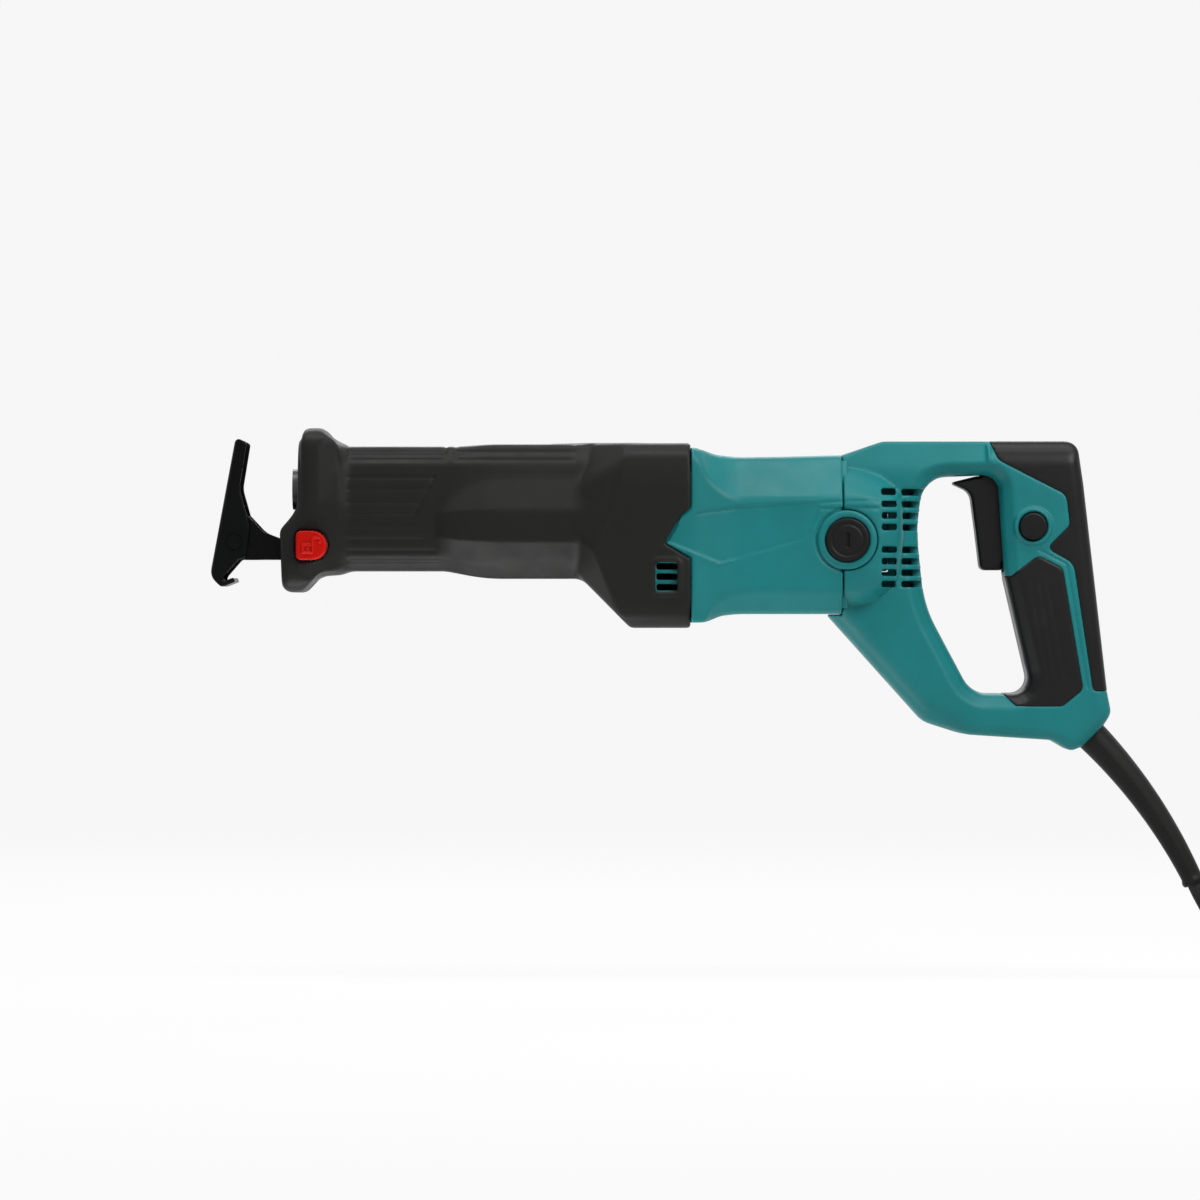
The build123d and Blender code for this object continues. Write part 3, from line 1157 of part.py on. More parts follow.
def make_trigger():
    trigger = side_prism(TRIGGER_OUTLINE, TRIGGER_RADII, TRIGGER_HALF)
    for hollow in TRIGGER_HOLLOWS:
        trigger -= across(*hollow, TRIGGER_HALF - TRIGGER_WALL)
    return trigger - rod_y(TRIGGER_PIN_RADIUS + RUN_FIT, -FAR, FAR, TRIGGER_PIVOT_X, TRIGGER_PIVOT_Z)


def make_trigger_pin():
    end = HANDLE_HALF - TRIGGER_PIN_COVER - 0.2
    return rod_y(TRIGGER_PIN_RADIUS, -end, end, TRIGGER_PIVOT_X, TRIGGER_PIVOT_Z)


def make_switch_body():
    switch = across(SWITCH_FRONT_X, SWITCH_REAR_X, SWITCH_LOW, SWITCH_HIGH, SWITCH_HALF)
    return switch - across(SWITCH_FRONT_X - PAST, PLUNGER_ROOM_X, PLUNGER_LOW - PLUNGER_FIT,
                           PLUNGER_HIGH + PLUNGER_FIT, PLUNGER_HALF + PLUNGER_FIT)


def make_switch_plunger():
    return across(PLUNGER_FRONT_X, 0.0, PLUNGER_LOW, PLUNGER_HIGH, PLUNGER_HALF)


def make_lock_button():
    root = -HANDLE_HALF + BUTTON_DEPTH
    cap = rod_y(BUTTON_RADIUS, -HANDLE_HALF - BUTTON_HEIGHT, root, BUTTON_X, BUTTON_Z)
    cap = fillet(cap.edges().filter_by(GeomType.CIRCLE).group_by(Axis.Y)[0], BUTTON_ROUND)
    return cap + rod_y(BUTTON_STEM_RADIUS, root, -BUTTON_STEM_IN, BUTTON_STEM_X, BUTTON_Z)


def make_lock_spring():
    inner = BUTTON_SPRING_RADIUS - BUTTON_SPRING_WIRE
    return tube_y(BUTTON_SPRING_RADIUS, inner, -BUTTON_SPRING_OUT, -SWITCH_HALF, BUTTON_STEM_X, BUTTON_Z)


def make_inner_lead():
    depth = 10.0
    straight = 15.0
    away = math.radians(GUARD_START_ANGLE)
    start = (GUARD_START_X - depth * math.cos(away), 0, GUARD_START_Z + depth * math.sin(away))
    bend = (start[0] - straight * math.cos(away), 0, start[2] + straight * math.sin(away))
    route = [start, bend, (9.4, 0, -25), (5, 0, 18.75)]
    return round_tube(FilletPolyline(*route, radius=[16, 80]), LEAD_DIAMETER)


def make_cord_clamp():
    rear = CLAMP_FRONT_X + CLAMP_SHEET
    bar = across(CLAMP_FRONT_X, rear, CLAMP_Z - CLAMP_HALF_HEIGHT, CLAMP_Z + CLAMP_HALF_HEIGHT, CLAMP_HALF)
    hole = rod_x(CLAMP_SCREW_RADIUS + SCREW_FIT, CLAMP_FRONT_X - PAST, rear + PAST, CLAMP_SCREW_Y, CLAMP_Z)
    for side in both_sides(hole):
        bar -= side
    return bar


def make_cord_clamp_screws():
    seat = CLAMP_FRONT_X + CLAMP_SHEET
    top = seat + CLAMP_SCREW_HEIGHT
    screw = rod_x(CLAMP_SCREW_HEAD, seat, top, CLAMP_SCREW_Y, CLAMP_Z)
    screw -= block(top - 0.7, top + PAST, 0, FAR, CLAMP_Z - 0.4, CLAMP_Z + 0.4)
    screw += rod_x(CLAMP_SCREW_RADIUS, 3.0, seat, CLAMP_SCREW_Y, CLAMP_Z)
    return Compound(both_sides(screw))


def make_capacitor():
    rear = CAPACITOR_FRONT_X + CAPACITOR_LENGTH
    return rod_x(CAPACITOR_RADIUS, CAPACITOR_FRONT_X, rear, 0, CAPACITOR_Z)


# Cord guard, cord, coil and plug
def guard_point(part):
    """The guard's middle line as a point and a downward angle, from root 0 to tip 1."""
    radius = GUARD_LENGTH / math.radians(GUARD_END_ANGLE - GUARD_START_ANGLE)
    start = math.radians(GUARD_START_ANGLE)
    angle = start + part * (math.radians(GUARD_END_ANGLE) - start)
    x = GUARD_START_X + radius * (math.sin(angle) - math.sin(start))
    z = GUARD_START_Z - radius * (math.cos(start) - math.cos(angle))
    return x, z, angle


def guard_section(part, diameter):
    x, z, angle = guard_point(part)
    plane = Plane(origin=(x, 0, z), z_dir=(math.cos(angle), 0, -math.sin(angle)))
    return plane * Circle(diameter / 2)


def make_cord_guard():
    steps = [0.0, 0.25, 0.5, 0.75, 1.0]
    guard = loft([guard_section(t, GUARD_ROOT + t * (GUARD_TIP - GUARD_ROOT)) for t in steps])
    x, z, angle = guard_point(1.0)
    tip = Pos(x, 0, z) * Rot(0, 90 + math.degrees(angle), 0)
    lip = tip * (Pos(0, 0, -GUARD_LIP_LENGTH / 2) * Cylinder(GUARD_LIP / 2, GUARD_LIP_LENGTH))
    neck = guard_frame(Pos(0, 0, -2.4) * Cylinder(GUARD_NECK, 5.2))
    collar = guard_frame(Pos(0, 0, GUARD_COLLAR_MIDDLE) * Cylinder(GUARD_COLLAR, GUARD_COLLAR_LENGTH))
    return guard + lip + neck + collar


def lead_route():
    """Corner points of the cord from the guard down to the floor and along to the coil."""
    x, z, angle = guard_point(1.0)
    points = [(x, 0.0, z)]
    runs = [20.0, 24.0, 24.0, 17.0]
    for step, run in enumerate(runs):
        turn = angle * (1 - step / (len(runs) - 1))
        x += run * math.cos(turn)
        z -= run * math.sin(turn)
        points.append((x, 0.0, z))
    return points


def bend_radii(points):
    radii = []
    for before, here, after in zip(points, points[1:], points[2:]):
        first = Vector(*here) - Vector(*before)
        second = Vector(*after) - Vector(*here)
        half_turn = math.radians(first.get_angle(second)) / 2
        radii.append(0.45 * min(first.length, second.length) / math.tan(half_turn))
    return radii


def round_tube(path, diameter):
    profile = Plane(origin=path @ 0, z_dir=path % 0) * Circle(diameter / 2)
    return sweep(profile, path)


def make_cord_lead():
    route = lead_route()
    radii = bend_radii(route)
    path = FilletPolyline(*route, radius=radii)
    tube = round_tube(path, CORD_DIAMETER)
    print("cord lead bend radii", [round(r, 1) for r in radii])
    print("cord lead volume ratio", round(tube.volume / (math.pi * CORD_DIAMETER ** 2 / 4 * path.length), 4))
    return tube


def coil_point(turn):
    """Point and direction of the coil after some turns: in on the lower layer, out on the upper."""
    start = lead_route()[-1]
    rate = COIL_PITCH
    inner = COIL_OUTER - COIL_TURNS * rate
    angle = math.radians(-90 + 360 * turn)
    if turn <= COIL_TURNS:
        radius, slope, rise = COIL_OUTER - rate * turn, -rate, 0.0
    elif turn >= COIL_TURNS + 0.5:
        radius, slope, rise = inner + rate * (turn - COIL_TURNS - 0.5), rate, 1.0
    else:
        part = (turn - COIL_TURNS) / 0.5
        radius = inner - COIL_DIP * math.sin(math.pi * part)
        slope, rise = -2 * math.pi * COIL_DIP * math.cos(math.pi * part), part
    point = Vector(start[0] + radius * math.cos(angle), start[1] - COIL_OUTER - radius * math.sin(angle),
                   start[2] + COIL_LAYER * rise)
    spin = 2 * math.pi * radius
    tangent = Vector(slope * math.cos(angle) - spin * math.sin(angle),
                     -slope * math.sin(angle) - spin * math.cos(angle), 0)
    if 0 < rise < 1:
        tangent = tangent + Vector(0, 0, 2 * COIL_LAYER)
    return point, tangent.normalized()


def biarc(start, first, end, last):
    """Two tangent arcs from one point and direction to another."""
    span = end - start
    both = first + last
    spread = 2 * (1 - first.dot(last))
    along = span.dot(both)
    reach = (-along + math.sqrt(along * along + spread * span.dot(span))) / spread
    joint = (start + first * reach + end - last * reach) * 0.5
    first_arc = TangentArc(start, joint, tangent=first)
    return [first_arc, TangentArc(joint, end, tangent=first_arc % 1)]


def coil_path():
    quarters = round(4 * (2 * COIL_TURNS + 0.5))
    stations = [coil_point(step / 4) for step in range(quarters + 1)]
    lead = lead_route()[-1]
    level = Vector(1, 0, 0)
    stations[0] = (Vector(*lead), level)
    stations[-1] = (stations[-1][0], level)
    edges = []
    for (start, first), (end, last) in zip(stations, stations[1:]):
        edges += biarc(start, first, end, last)
    tail_start = stations[-1][0]
    edges.append(Line(tail_start, tail_start + Vector(COIL_TAIL, 0, 0)))
    return edges


def coil_gap(edges):
    """The least gap between turns of the coil, from points along its middle line."""
    wire = Wire([e for line in edges for e in line.edges()])
    count = round(wire.length / 3)
    points = [wire @ (i / count) for i in range(count + 1)]
    skip = round(8 * CORD_DIAMETER / 3)
    least = min(
        (points[i] - points[j]).length for i in range(count + 1) for j in range(i + skip, count + 1)
    )
    return least - CORD_DIAMETER, wire.length


def make_cord_coil(edges):
    wire = Wire([e for line in edges for e in line.edges()])
    tube = round_tube(wire, CORD_DIAMETER)
    print("coil volume ratio", round(tube.volume / (math.pi * CORD_DIAMETER ** 2 / 4 * wire.length), 4))
    return tube


def make_cord_tie():
    start = lead_route()[-1]
    low = start[2] - CORD_DIAMETER / 2 - TIE_FIT
    high = start[2] + COIL_LAYER + CORD_DIAMETER / 2 + TIE_FIT
    far_side = start[1] - 2 * COIL_OUTER
    inner = far_side + COIL_TURNS * COIL_PITCH + COIL_DIP + CORD_DIAMETER / 2 + TIE_INNER_GAP
    outer = far_side + COIL_PITCH / 2 - CORD_DIAMETER / 2 - TIE_OUTER_GAP
    band = block(start[0] - TIE_HALF, start[0] + TIE_HALF, outer - TIE_SHEET, inner + TIE_SHEET,
                 low - TIE_SHEET, high + TIE_SHEET)
    return band - block(start[0] - FAR, start[0] + FAR, outer, inner, low, high)


def plug_start(edges):
    return edges[-1] @ 1


def make_plug_body(edges):
    start = plug_start(edges)

    def ring(along, width, height, radius):
        plane = cross_plane(start.X + along, start.Y, start.Z)
        return plane * RectangleRounded(2 * width, 2 * height, radius)

    neck_start = ring(0, PLUG_NECK_START, PLUG_NECK_START, PLUG_NECK_START - 0.1)
    neck_end = ring(PLUG_NECK_LENGTH, PLUG_NECK_END, PLUG_NECK_END, PLUG_NECK_END - 0.1)
    shoulder = ring(PLUG_NECK_LENGTH, PLUG_SHOULDER, PLUG_SHOULDER, 6)
    full = ring(PLUG_SHOULDER_END, PLUG_HALF_WIDTH, PLUG_HALF_HEIGHT, PLUG_ROUND)
    plug = loft([neck_start, neck_end], ruled=True) + loft([shoulder, full], ruled=True)
    plug += extrude(full, PLUG_LENGTH - PLUG_SHOULDER_END)
    waist = PLUG_HALF_WIDTH - PLUG_GRIP_DEPTH
    grip = across(PLUG_GRIP[0], PLUG_GRIP[1], -PLUG_GRIP_HALF, PLUG_GRIP_HALF, FAR)
    grip -= across(0, PLUG_LENGTH, -FAR, FAR, waist)
    plug -= Pos(start.X, start.Y, start.Z) * grip
    for side in (-1, 1):
        y = start.Y + side * PLUG_PIN_PITCH / 2
        plug -= rod_x(PLUG_PIN_RADIUS, start.X + PLUG_PIN_ROOT, start.X + PLUG_LENGTH + PAST, y, start.Z)
    return plug


def make_plug_pins(edges):
    start = plug_start(edges)
    end = start.X + PLUG_LENGTH + PLUG_PIN_LENGTH
    pins = []
    for side in (-1, 1):
        y = start.Y + side * PLUG_PIN_PITCH / 2
        pin = rod_x(PLUG_PIN_RADIUS, start.X + PLUG_PIN_ROOT, end, y, start.Z)
        tip = pin.edges().filter_by(GeomType.CIRCLE).group_by(Axis.X)[-1]
        pins.append(fillet(tip, PLUG_PIN_ROUND))
    return Compound(pins)


# Building and writing every piece
def build_pieces():
    rear_cover = make_grip_cover(REAR_COVER_OUTLINE, REAR_COVER_RADII)
    front_cover = make_grip_cover(FRONT_COVER_OUTLINE, FRONT_COVER_RADII)
    handle = make_handle_shells([rear_cover, front_cover])
    coil = coil_path()
    gap, coil_length = coil_gap(coil)
    print("coil least gap", round(gap, 3), "coil length", round(coil_length, 1))
    return {
        "shoe": make_shoe(),
        "shoe_pivot_pin": make_shoe_pivot_pin(),
        "shoe_support": make_shoe_support(),
        "shoe_lock_button": make_shoe_lock_button(),
        "slider": make_slider(),
        "blade_clamp_holder": make_blade_clamp_holder(),
        "blade_clamp_sleeve": make_blade_clamp_sleeve(),
        "blade_clamp_pin": make_blade_clamp_pin(),
        "blade_clamp_spring": make_blade_clamp_spring(),
        "dust_seal": make_dust_seal(),
        "slider_bush": make_slider_bush(),
        "retaining_ring": make_retaining_ring(),
        "guide_plates": make_guide_plates(),
        "crank_gear": make_crank_gear(),
        "crank_roller": make_crank_roller(),
        "counterweight": make_counterweight(),
        "gear_bearing_upper": make_gear_bearing(GEAR_BEARING_HIGH_Z),
        "gear_bearing_lower": make_gear_bearing(GEAR_BEARING_LOW_Z),
        "gear_housing": make_gear_housing(),
        "bearing_plate": make_bearing_plate(),
        "housing_screws": make_housing_screws(),
        "boot": make_boot(),
        "armature_shaft": make_armature_shaft(),
        "armature_core": make_armature_core(),
        "armature_winding": make_armature_winding(),
        "commutator": make_commutator(),
        "fan": make_fan(),
        "front_bearing": make_front_bearing(),
        "rear_bearing": make_rear_bearing(),
        "bearing_rubber_ring": make_bearing_rubber_ring(),
        "field_core": make_field_core(),
        "field_coils": make_field_coils(),
        "baffle": make_baffle(),
        "motor_housing": make_motor_housing(),
        "brush_holders": make_brush_holders(),
        "carbon_brushes": make_carbon_brushes(),
        "brush_springs": make_brush_springs(),
        "brush_caps": make_brush_caps(),
        "handle_left": split(handle, bisect_by=Plane.XZ, keep=Keep.TOP),
        "handle_right": split(handle, bisect_by=Plane.XZ, keep=Keep.BOTTOM),
        "grip_cover_rear": rear_cover,
        "grip_cover_front": front_cover,
        "handle_screws": make_handle_screws(),
        "trigger": make_trigger(),
        "trigger_pin": make_trigger_pin(),
        "switch_body": make_switch_body(),
        "switch_plunger": make_switch_plunger(),
        "lock_button": make_lock_button(),
        "lock_spring": make_lock_spring(),
        "inner_lead": make_inner_lead(),
        "cord_clamp": make_cord_clamp(),
        "cord_clamp_screws": make_cord_clamp_screws(),
        "capacitor": make_capacitor(),
        "cord_guard": make_cord_guard(),
        "cord_lead": make_cord_lead(),
        "cord_coil": make_cord_coil(coil),
        "cord_tie": make_cord_tie(),
        "plug_body": make_plug_body(coil),
        "plug_pins": make_plug_pins(coil),
    }


folder = os.path.join(os.path.dirname(os.path.abspath(__file__)), "parts")
os.makedirs(folder, exist_ok=True)
for name, piece in build_pieces().items():
    export_step(piece, os.path.join(folder, name + ".step"))
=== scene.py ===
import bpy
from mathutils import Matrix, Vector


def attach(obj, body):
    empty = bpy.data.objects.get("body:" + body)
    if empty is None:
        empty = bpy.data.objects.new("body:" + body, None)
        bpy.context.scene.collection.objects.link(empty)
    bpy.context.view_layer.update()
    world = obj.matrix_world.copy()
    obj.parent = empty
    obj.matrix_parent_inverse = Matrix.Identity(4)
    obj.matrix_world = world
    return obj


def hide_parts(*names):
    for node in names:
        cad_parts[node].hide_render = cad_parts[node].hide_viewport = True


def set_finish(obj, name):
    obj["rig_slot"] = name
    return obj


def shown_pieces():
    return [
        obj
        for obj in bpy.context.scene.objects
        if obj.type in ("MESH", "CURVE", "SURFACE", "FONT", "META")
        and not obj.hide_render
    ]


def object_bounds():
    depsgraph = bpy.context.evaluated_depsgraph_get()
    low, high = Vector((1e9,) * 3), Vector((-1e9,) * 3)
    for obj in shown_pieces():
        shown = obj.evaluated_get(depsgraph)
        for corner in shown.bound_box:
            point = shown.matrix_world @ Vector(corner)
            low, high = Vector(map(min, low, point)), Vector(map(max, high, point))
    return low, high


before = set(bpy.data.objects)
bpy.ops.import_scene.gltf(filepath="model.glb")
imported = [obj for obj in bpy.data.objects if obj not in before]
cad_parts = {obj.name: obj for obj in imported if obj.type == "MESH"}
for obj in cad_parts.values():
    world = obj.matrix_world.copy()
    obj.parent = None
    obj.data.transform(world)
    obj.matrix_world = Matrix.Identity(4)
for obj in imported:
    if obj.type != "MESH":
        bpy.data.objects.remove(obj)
cad_box = [list(corner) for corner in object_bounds()]

import math

import bpy
import numpy as np

# Sizes are in millimetres in the frame of the CAD model and become metres in the meshes.
MM = 0.001
STEP_CASING = 0.9
STEP_HANDLE = 0.75
STEP_SMALL = 0.6
STEP_FINE = 0.35
ARC_STEPS = 6

# Shared places and sizes, how near the middle side openings are cut, and the radii of edges
MOTOR_Z = 25.0
BRUSH_X = -97.5
SEAM_X = -100.0
BOOT_END_X = -176.0
HANDLE_HALF = 19.5
SHELL_WALL = 2.8
SIDE_CUT_TO = 30.0
SPLIT_EDGE, FINE_EDGE, CUT_EDGE, RIM_EDGE, SOFT_EDGE = 0.3, 0.5, 0.6, 0.8, 1.2
LOCK_X, LOCK_Z = -365.2, 22.3
BUTTON_X, BUTTON_Z = -3.3, 32.0
GUARD_START = (27.2, -73.4)
GUARD_ANGLES = (math.radians(45), math.radians(65))


# Camera at the height of the tool, looking straight at its left side
VIEW_X, VIEW_Z = -221.2, -5.0
VIEW_WIDTH = 603.4
VIEW_DISTANCE = 3000.0
VIEW_PLANE = 20.0


def make_camera():
    camera = bpy.data.cameras.new("camera")
    camera.sensor_width = 36.0
    camera.lens = camera.sensor_width * (VIEW_DISTANCE - VIEW_PLANE) / VIEW_WIDTH
    camera.clip_start = 0.01
    camera.clip_end = 50.0
    holder = bpy.data.objects.new("camera", camera)
    holder.location = (VIEW_X * MM, -VIEW_DISTANCE * MM, VIEW_Z * MM)
    holder.rotation_euler = (math.pi / 2, 0, 0)
    bpy.context.scene.collection.objects.link(holder)
    bpy.context.scene.camera = holder


make_camera()

# Cord, from the tip of its guard to the floor, into a tied coil and on to the plug
CORD_DIAMETER = 7.8
LEAD_ROUTE = [
    (79.70, 0, -148.38), (88.15, 0, -166.51), (105.61, 0, -182.98), (127.92, 0, -191.84),
]
COIL_START = (144.92, 0.0, -191.84)
COIL_OUTER = 54.5
COIL_TURNS = 3.75
COIL_PITCH = 8.4
COIL_LAYER = 8.5
COIL_DIP = 1.5
COIL_STEPS = 16
PLUG_START = (176.92, 0.0, -183.34)


def coil_point(turn):
    """A point of the coil after some turns, inwards below and then outwards on the upper layer."""
    inner = COIL_OUTER - COIL_TURNS * COIL_PITCH
    past = turn - COIL_TURNS
    if past <= 0:
        radius, rise = COIL_OUTER - COIL_PITCH * turn, 0.0
    elif past >= 0.5:
        radius, rise = inner + COIL_PITCH * (past - 0.5), 1.0
    else:
        radius, rise = inner - COIL_DIP * math.sin(2 * math.pi * past), 2 * past
    angle = 2 * math.pi * turn - math.pi / 2
    return (
        COIL_START[0] + radius * math.cos(angle),
        COIL_START[1] - COIL_OUTER - radius * math.sin(angle),
        COIL_START[2] + COIL_LAYER * rise,
    )


def cord_route():
    turns = 2 * COIL_TURNS + 0.5
    count = round(turns * COIL_STEPS)
    route = LEAD_ROUTE + [coil_point(turns * i / count) for i in range(count + 1)]
    end = route[-1]
    return route + [((end[0] + PLUG_START[0]) / 2, end[1], end[2]), PLUG_START]


def make_cord():
    route = cord_route()
    curve = bpy.data.curves.new("mains_cord", "CURVE")
    curve.dimensions = "3D"
    curve.bevel_depth = 1.0
    curve.bevel_resolution = 5
    curve.use_fill_caps = True
    spline = curve.splines.new("NURBS")
    spline.points.add(len(route) - 1)
    for point, place in zip(spline.points, route):
        point.co = (*[value * MM for value in place], 1.0)
        point.radius = CORD_DIAMETER / 2 * MM
    spline.order_u = 3
    spline.use_endpoint_u = True
    spline.resolution_u = 6
    cord = bpy.data.objects.new("mains_cord", curve)
    bpy.context.scene.collection.objects.link(cord)
    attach(cord, "body")
    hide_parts("cord_lead", "cord_coil")
    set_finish(cord, "cord_rubber")


make_cord()


# Fields: a form is a function of x, y, z that is negative inside and grows about 1 per millimetre.
# What lies in both forms and what lies in either, with sharp edges:
both = np.maximum
either = np.minimum


def meet(first, second, radius):
    """What lies in both forms, with the edge between them rounded."""
    corner = np.hypot(np.maximum(first + radius, 0), np.maximum(second + radius, 0))
    return np.minimum(np.maximum(first, second), -radius) + corner


def join(first, second, radius):
    """What lies in either form, with the valley between them filled to a radius."""
    return -meet(-first, -second, radius)


def cut(form, tool, radius):
    """A form without a tool's room, with the new edge rounded."""
    return meet(form, -tool, radius)


def without(form, tool):
    """A form without a tool's room, with a sharp edge."""
    return np.maximum(form, -tool)


def sink(form, mask, depth):
    """Cuts a pocket of a depth where the mask is negative."""
    return np.maximum(form, np.minimum(-mask, form + depth))


def swell(form, mask, height):
    """Builds a pad of a height where the mask is negative."""
    return np.minimum(form, np.maximum(mask, form - height))


def furrow(form, line, depth, half_width):
    """Presses a soft groove along a line, or raises a ridge where the depth is negative."""
    part = np.clip(1 - (line / half_width) ** 2, 0, 1)
    return form + depth * part * part


def press(form, mask, depth, soft):
    """Lowers a whole area by a small depth, with a soft step at its edge."""
    part = np.clip(0.5 - mask / soft, 0, 1)
    return form + depth * part * part * (3 - 2 * part)


def lean(out, half, rise, slope):
    """A side wall at a half width that leans inwards by a slope over a rise."""
    return (out - half + slope * rise) / math.hypot(1, slope)


def between(value, low, high):
    """Distance to the slab between two levels, negative inside it."""
    return np.abs(value - (low + high) / 2) - (high - low) / 2


def fade(value, width):
    """A straight rise from zero to one over a width, level before and after it."""
    return np.clip(value / width, 0, 1)


def rounded(points, radii):
    """The corners of a closed outline turned into arcs."""
    path = []
    for i, here in enumerate(points):
        here = np.array(here, float)
        before = np.array(points[i - 1], float) - here
        after = np.array(points[(i + 1) % len(points)], float) - here
        before_length, after_length = np.linalg.norm(before), np.linalg.norm(after)
        before /= before_length
        after /= after_length
        half = math.acos(np.clip(before @ after, -1, 1)) / 2
        if half > 1.565:
            path.append(tuple(here))
            continue
        reach = min(radii[i] / math.tan(half), 0.49 * before_length, 0.49 * after_length)
        radius = reach * math.tan(half)
        bisector = (before + after) / np.linalg.norm(before + after)
        centre = here + bisector * (radius / math.sin(half))
        first = here + before * reach - centre
        second = here + after * reach - centre
        sweep = math.acos(np.clip(first @ second / radius ** 2, -1, 1))
        for step in range(ARC_STEPS + 1):
            part = step / ARC_STEPS
            blend = first * math.sin((1 - part) * sweep) + second * math.sin(part * sweep)
            path.append(tuple(centre + blend / math.sin(sweep)))
    return path


def outline(points, across, up):
    """Distance to a closed outline in a plane, negative inside it."""
    shape = np.broadcast(across, up).shape
    nearest = np.full(shape, 1e9, np.float32)
    inside = np.zeros(shape, bool)
    for (x0, z0), (x1, z1) in zip(points, points[1:] + points[:1]):
        run, rise = x1 - x0, z1 - z0
        travel = (across - x0) * run + (up - z0) * rise
        part = np.clip(travel / (run * run + rise * rise + 1e-12), 0, 1)
        square = (across - x0 - run * part) ** 2 + (up - z0 - rise * part) ** 2
        nearest = np.minimum(nearest, square)
        if rise != 0:
            inside ^= ((z0 <= up) != (z1 <= up)) & (across < x0 + (up - z0) * (run / rise))
    distance = np.sqrt(nearest)
    return np.where(inside, -distance, distance)


def rounded_outline(points, radii, across, up):
    """Distance to a closed outline whose corners are arcs."""
    return outline(rounded(points, radii), across, up)


def bar(across, up, half_across, half_up, radius=0.0):
    """Distance to a rectangle about the origin with rounded corners."""
    side = np.abs(across) - half_across + radius
    end = np.abs(up) - half_up + radius
    corner = np.hypot(np.maximum(side, 0), np.maximum(end, 0))
    return corner + np.minimum(np.maximum(side, end), 0) - radius


def rectangle(across, up, low, high, radius=0.0):
    """Distance to a rectangle between two corners."""
    middle = [(a + b) / 2 for a, b in zip(low, high)]
    half = [(b - a) / 2 for a, b in zip(low, high)]
    return bar(across - middle[0], up - middle[1], *half, radius)


def line_along(points, across, up):
    """Distance to a line through points."""
    nearest = 1e9
    for (x0, z0), (x1, z1) in zip(points, points[1:]):
        run, rise = x1 - x0, z1 - z0
        part = np.clip(((across - x0) * run + (up - z0) * rise) / (run * run + rise * rise), 0, 1)
        nearest = np.minimum(nearest, np.hypot(across - x0 - run * part, up - z0 - rise * part))
    return nearest


def section(right_side, out, up, radius):
    """Distance to a cross-section given by the points of its right side from top to bottom."""
    form = meet(up - right_side[0][1], right_side[-1][1] - up, radius)
    for (y0, z0), (y1, z1) in zip(right_side, right_side[1:]):
        length = np.hypot(y1 - y0, z1 - z0)
        facet = ((out - y0) * (z0 - z1) + (up - z0) * (y1 - y0)) / length
        form = meet(form, facet, radius)
    return form


def half_space(corners, inner, x, out, z):
    """Distance to the plane through three corners, negative on the side of an inner point."""
    first, second, third = (np.array(corner, float) for corner in corners)
    normal = np.cross(second - first, third - first)
    normal /= np.linalg.norm(normal)
    if (np.array(inner, float) - first) @ normal > 0:
        normal = -normal
    return (x - first[0]) * normal[0] + (out - first[1]) * normal[1] + (z - first[2]) * normal[2]


def along(points, x):
    """The level of a smooth line through points, at each x, with no overshoot between them."""
    place, level = np.array(points, float).T
    slope = np.diff(level) / np.diff(place)
    product = slope[:-1] * slope[1:]
    same_way = product > 0
    between_slopes = 2 * product / np.where(same_way, slope[:-1] + slope[1:], 1)
    tangent = np.concatenate([slope[:1], np.where(same_way, between_slopes, 0), slope[-1:]])
    flat = np.clip(x.ravel(), place[0], place[-1])
    cell = np.clip(np.searchsorted(place, flat) - 1, 0, len(place) - 2)
    step = place[cell + 1] - place[cell]
    part = (flat - place[cell]) / step
    rise = part * part * (3 - 2 * part)
    value = level[cell] + rise * (level[cell + 1] - level[cell])
    value += step * part * (1 - part) * ((1 - part) * tangent[cell] - part * tangent[cell + 1])
    return value.reshape(x.shape).astype(np.float32)


# Turning a field into a mesh: one vertex in each cell that the surface crosses
CORNERS = [(i, j, k) for i in (0, 1) for j in (0, 1) for k in (0, 1)]
CELL_EDGES = [
    (a, b) for a in range(8) for b in range(a + 1, 8)
    if sum(abs(p - q) for p, q in zip(CORNERS[a], CORNERS[b])) == 1
]


def cell_vertices(field, size):
    """The cells that the surface crosses and the mean of the crossings in each, in grid steps."""
    windows = [field[i:i + size[0], j:j + size[1], k:k + size[2]] for i, j, k in CORNERS]
    inside = sum((window < 0).astype(np.int8) for window in windows)
    active = (inside > 0) & (inside < 8)
    values = [window[active] for window in windows]
    cells = np.argwhere(active)
    total = np.zeros((len(cells), 3))
    count = np.zeros(len(cells))
    for a, b in CELL_EDGES:
        crossed = (values[a] < 0) != (values[b] < 0)
        part = np.where(crossed, values[a] / np.where(crossed, values[a] - values[b], 1), 0)
        start, end = np.array(CORNERS[a]), np.array(CORNERS[b])
        total += (start + part[:, None] * (end - start)) * crossed[:, None]
        count += crossed
    return active, cells + total / count[:, None]


def surface_net(field):
    """Vertices in grid steps and quads of the zero surface of a sampled field."""
    size = [n - 1 for n in field.shape]
    active, vertices = cell_vertices(field, size)
    number = np.full(size, -1)
    number[active] = np.arange(len(vertices))
    quads = []
    for axis in range(3):
        first, second = [a for a in range(3) if a != axis]
        below = np.take(field, range(field.shape[axis] - 1), axis) < 0
        above = np.take(field, range(1, field.shape[axis]), axis) < 0
        places = np.argwhere(below != above)
        ring = []
        for back_first, back_second in ((1, 1), (0, 1), (0, 0), (1, 0)):
            cell = places.copy()
            cell[:, first] -= back_first
            cell[:, second] -= back_second
            ring.append(number[cell[:, 0], cell[:, 1], cell[:, 2]])
        ring = np.stack(ring, 1)
        outward = below[places[:, 0], places[:, 1], places[:, 2]] == (axis != 1)
        quads.append(np.where(outward[:, None], ring, ring[:, ::-1]))
    return vertices, np.concatenate(quads)


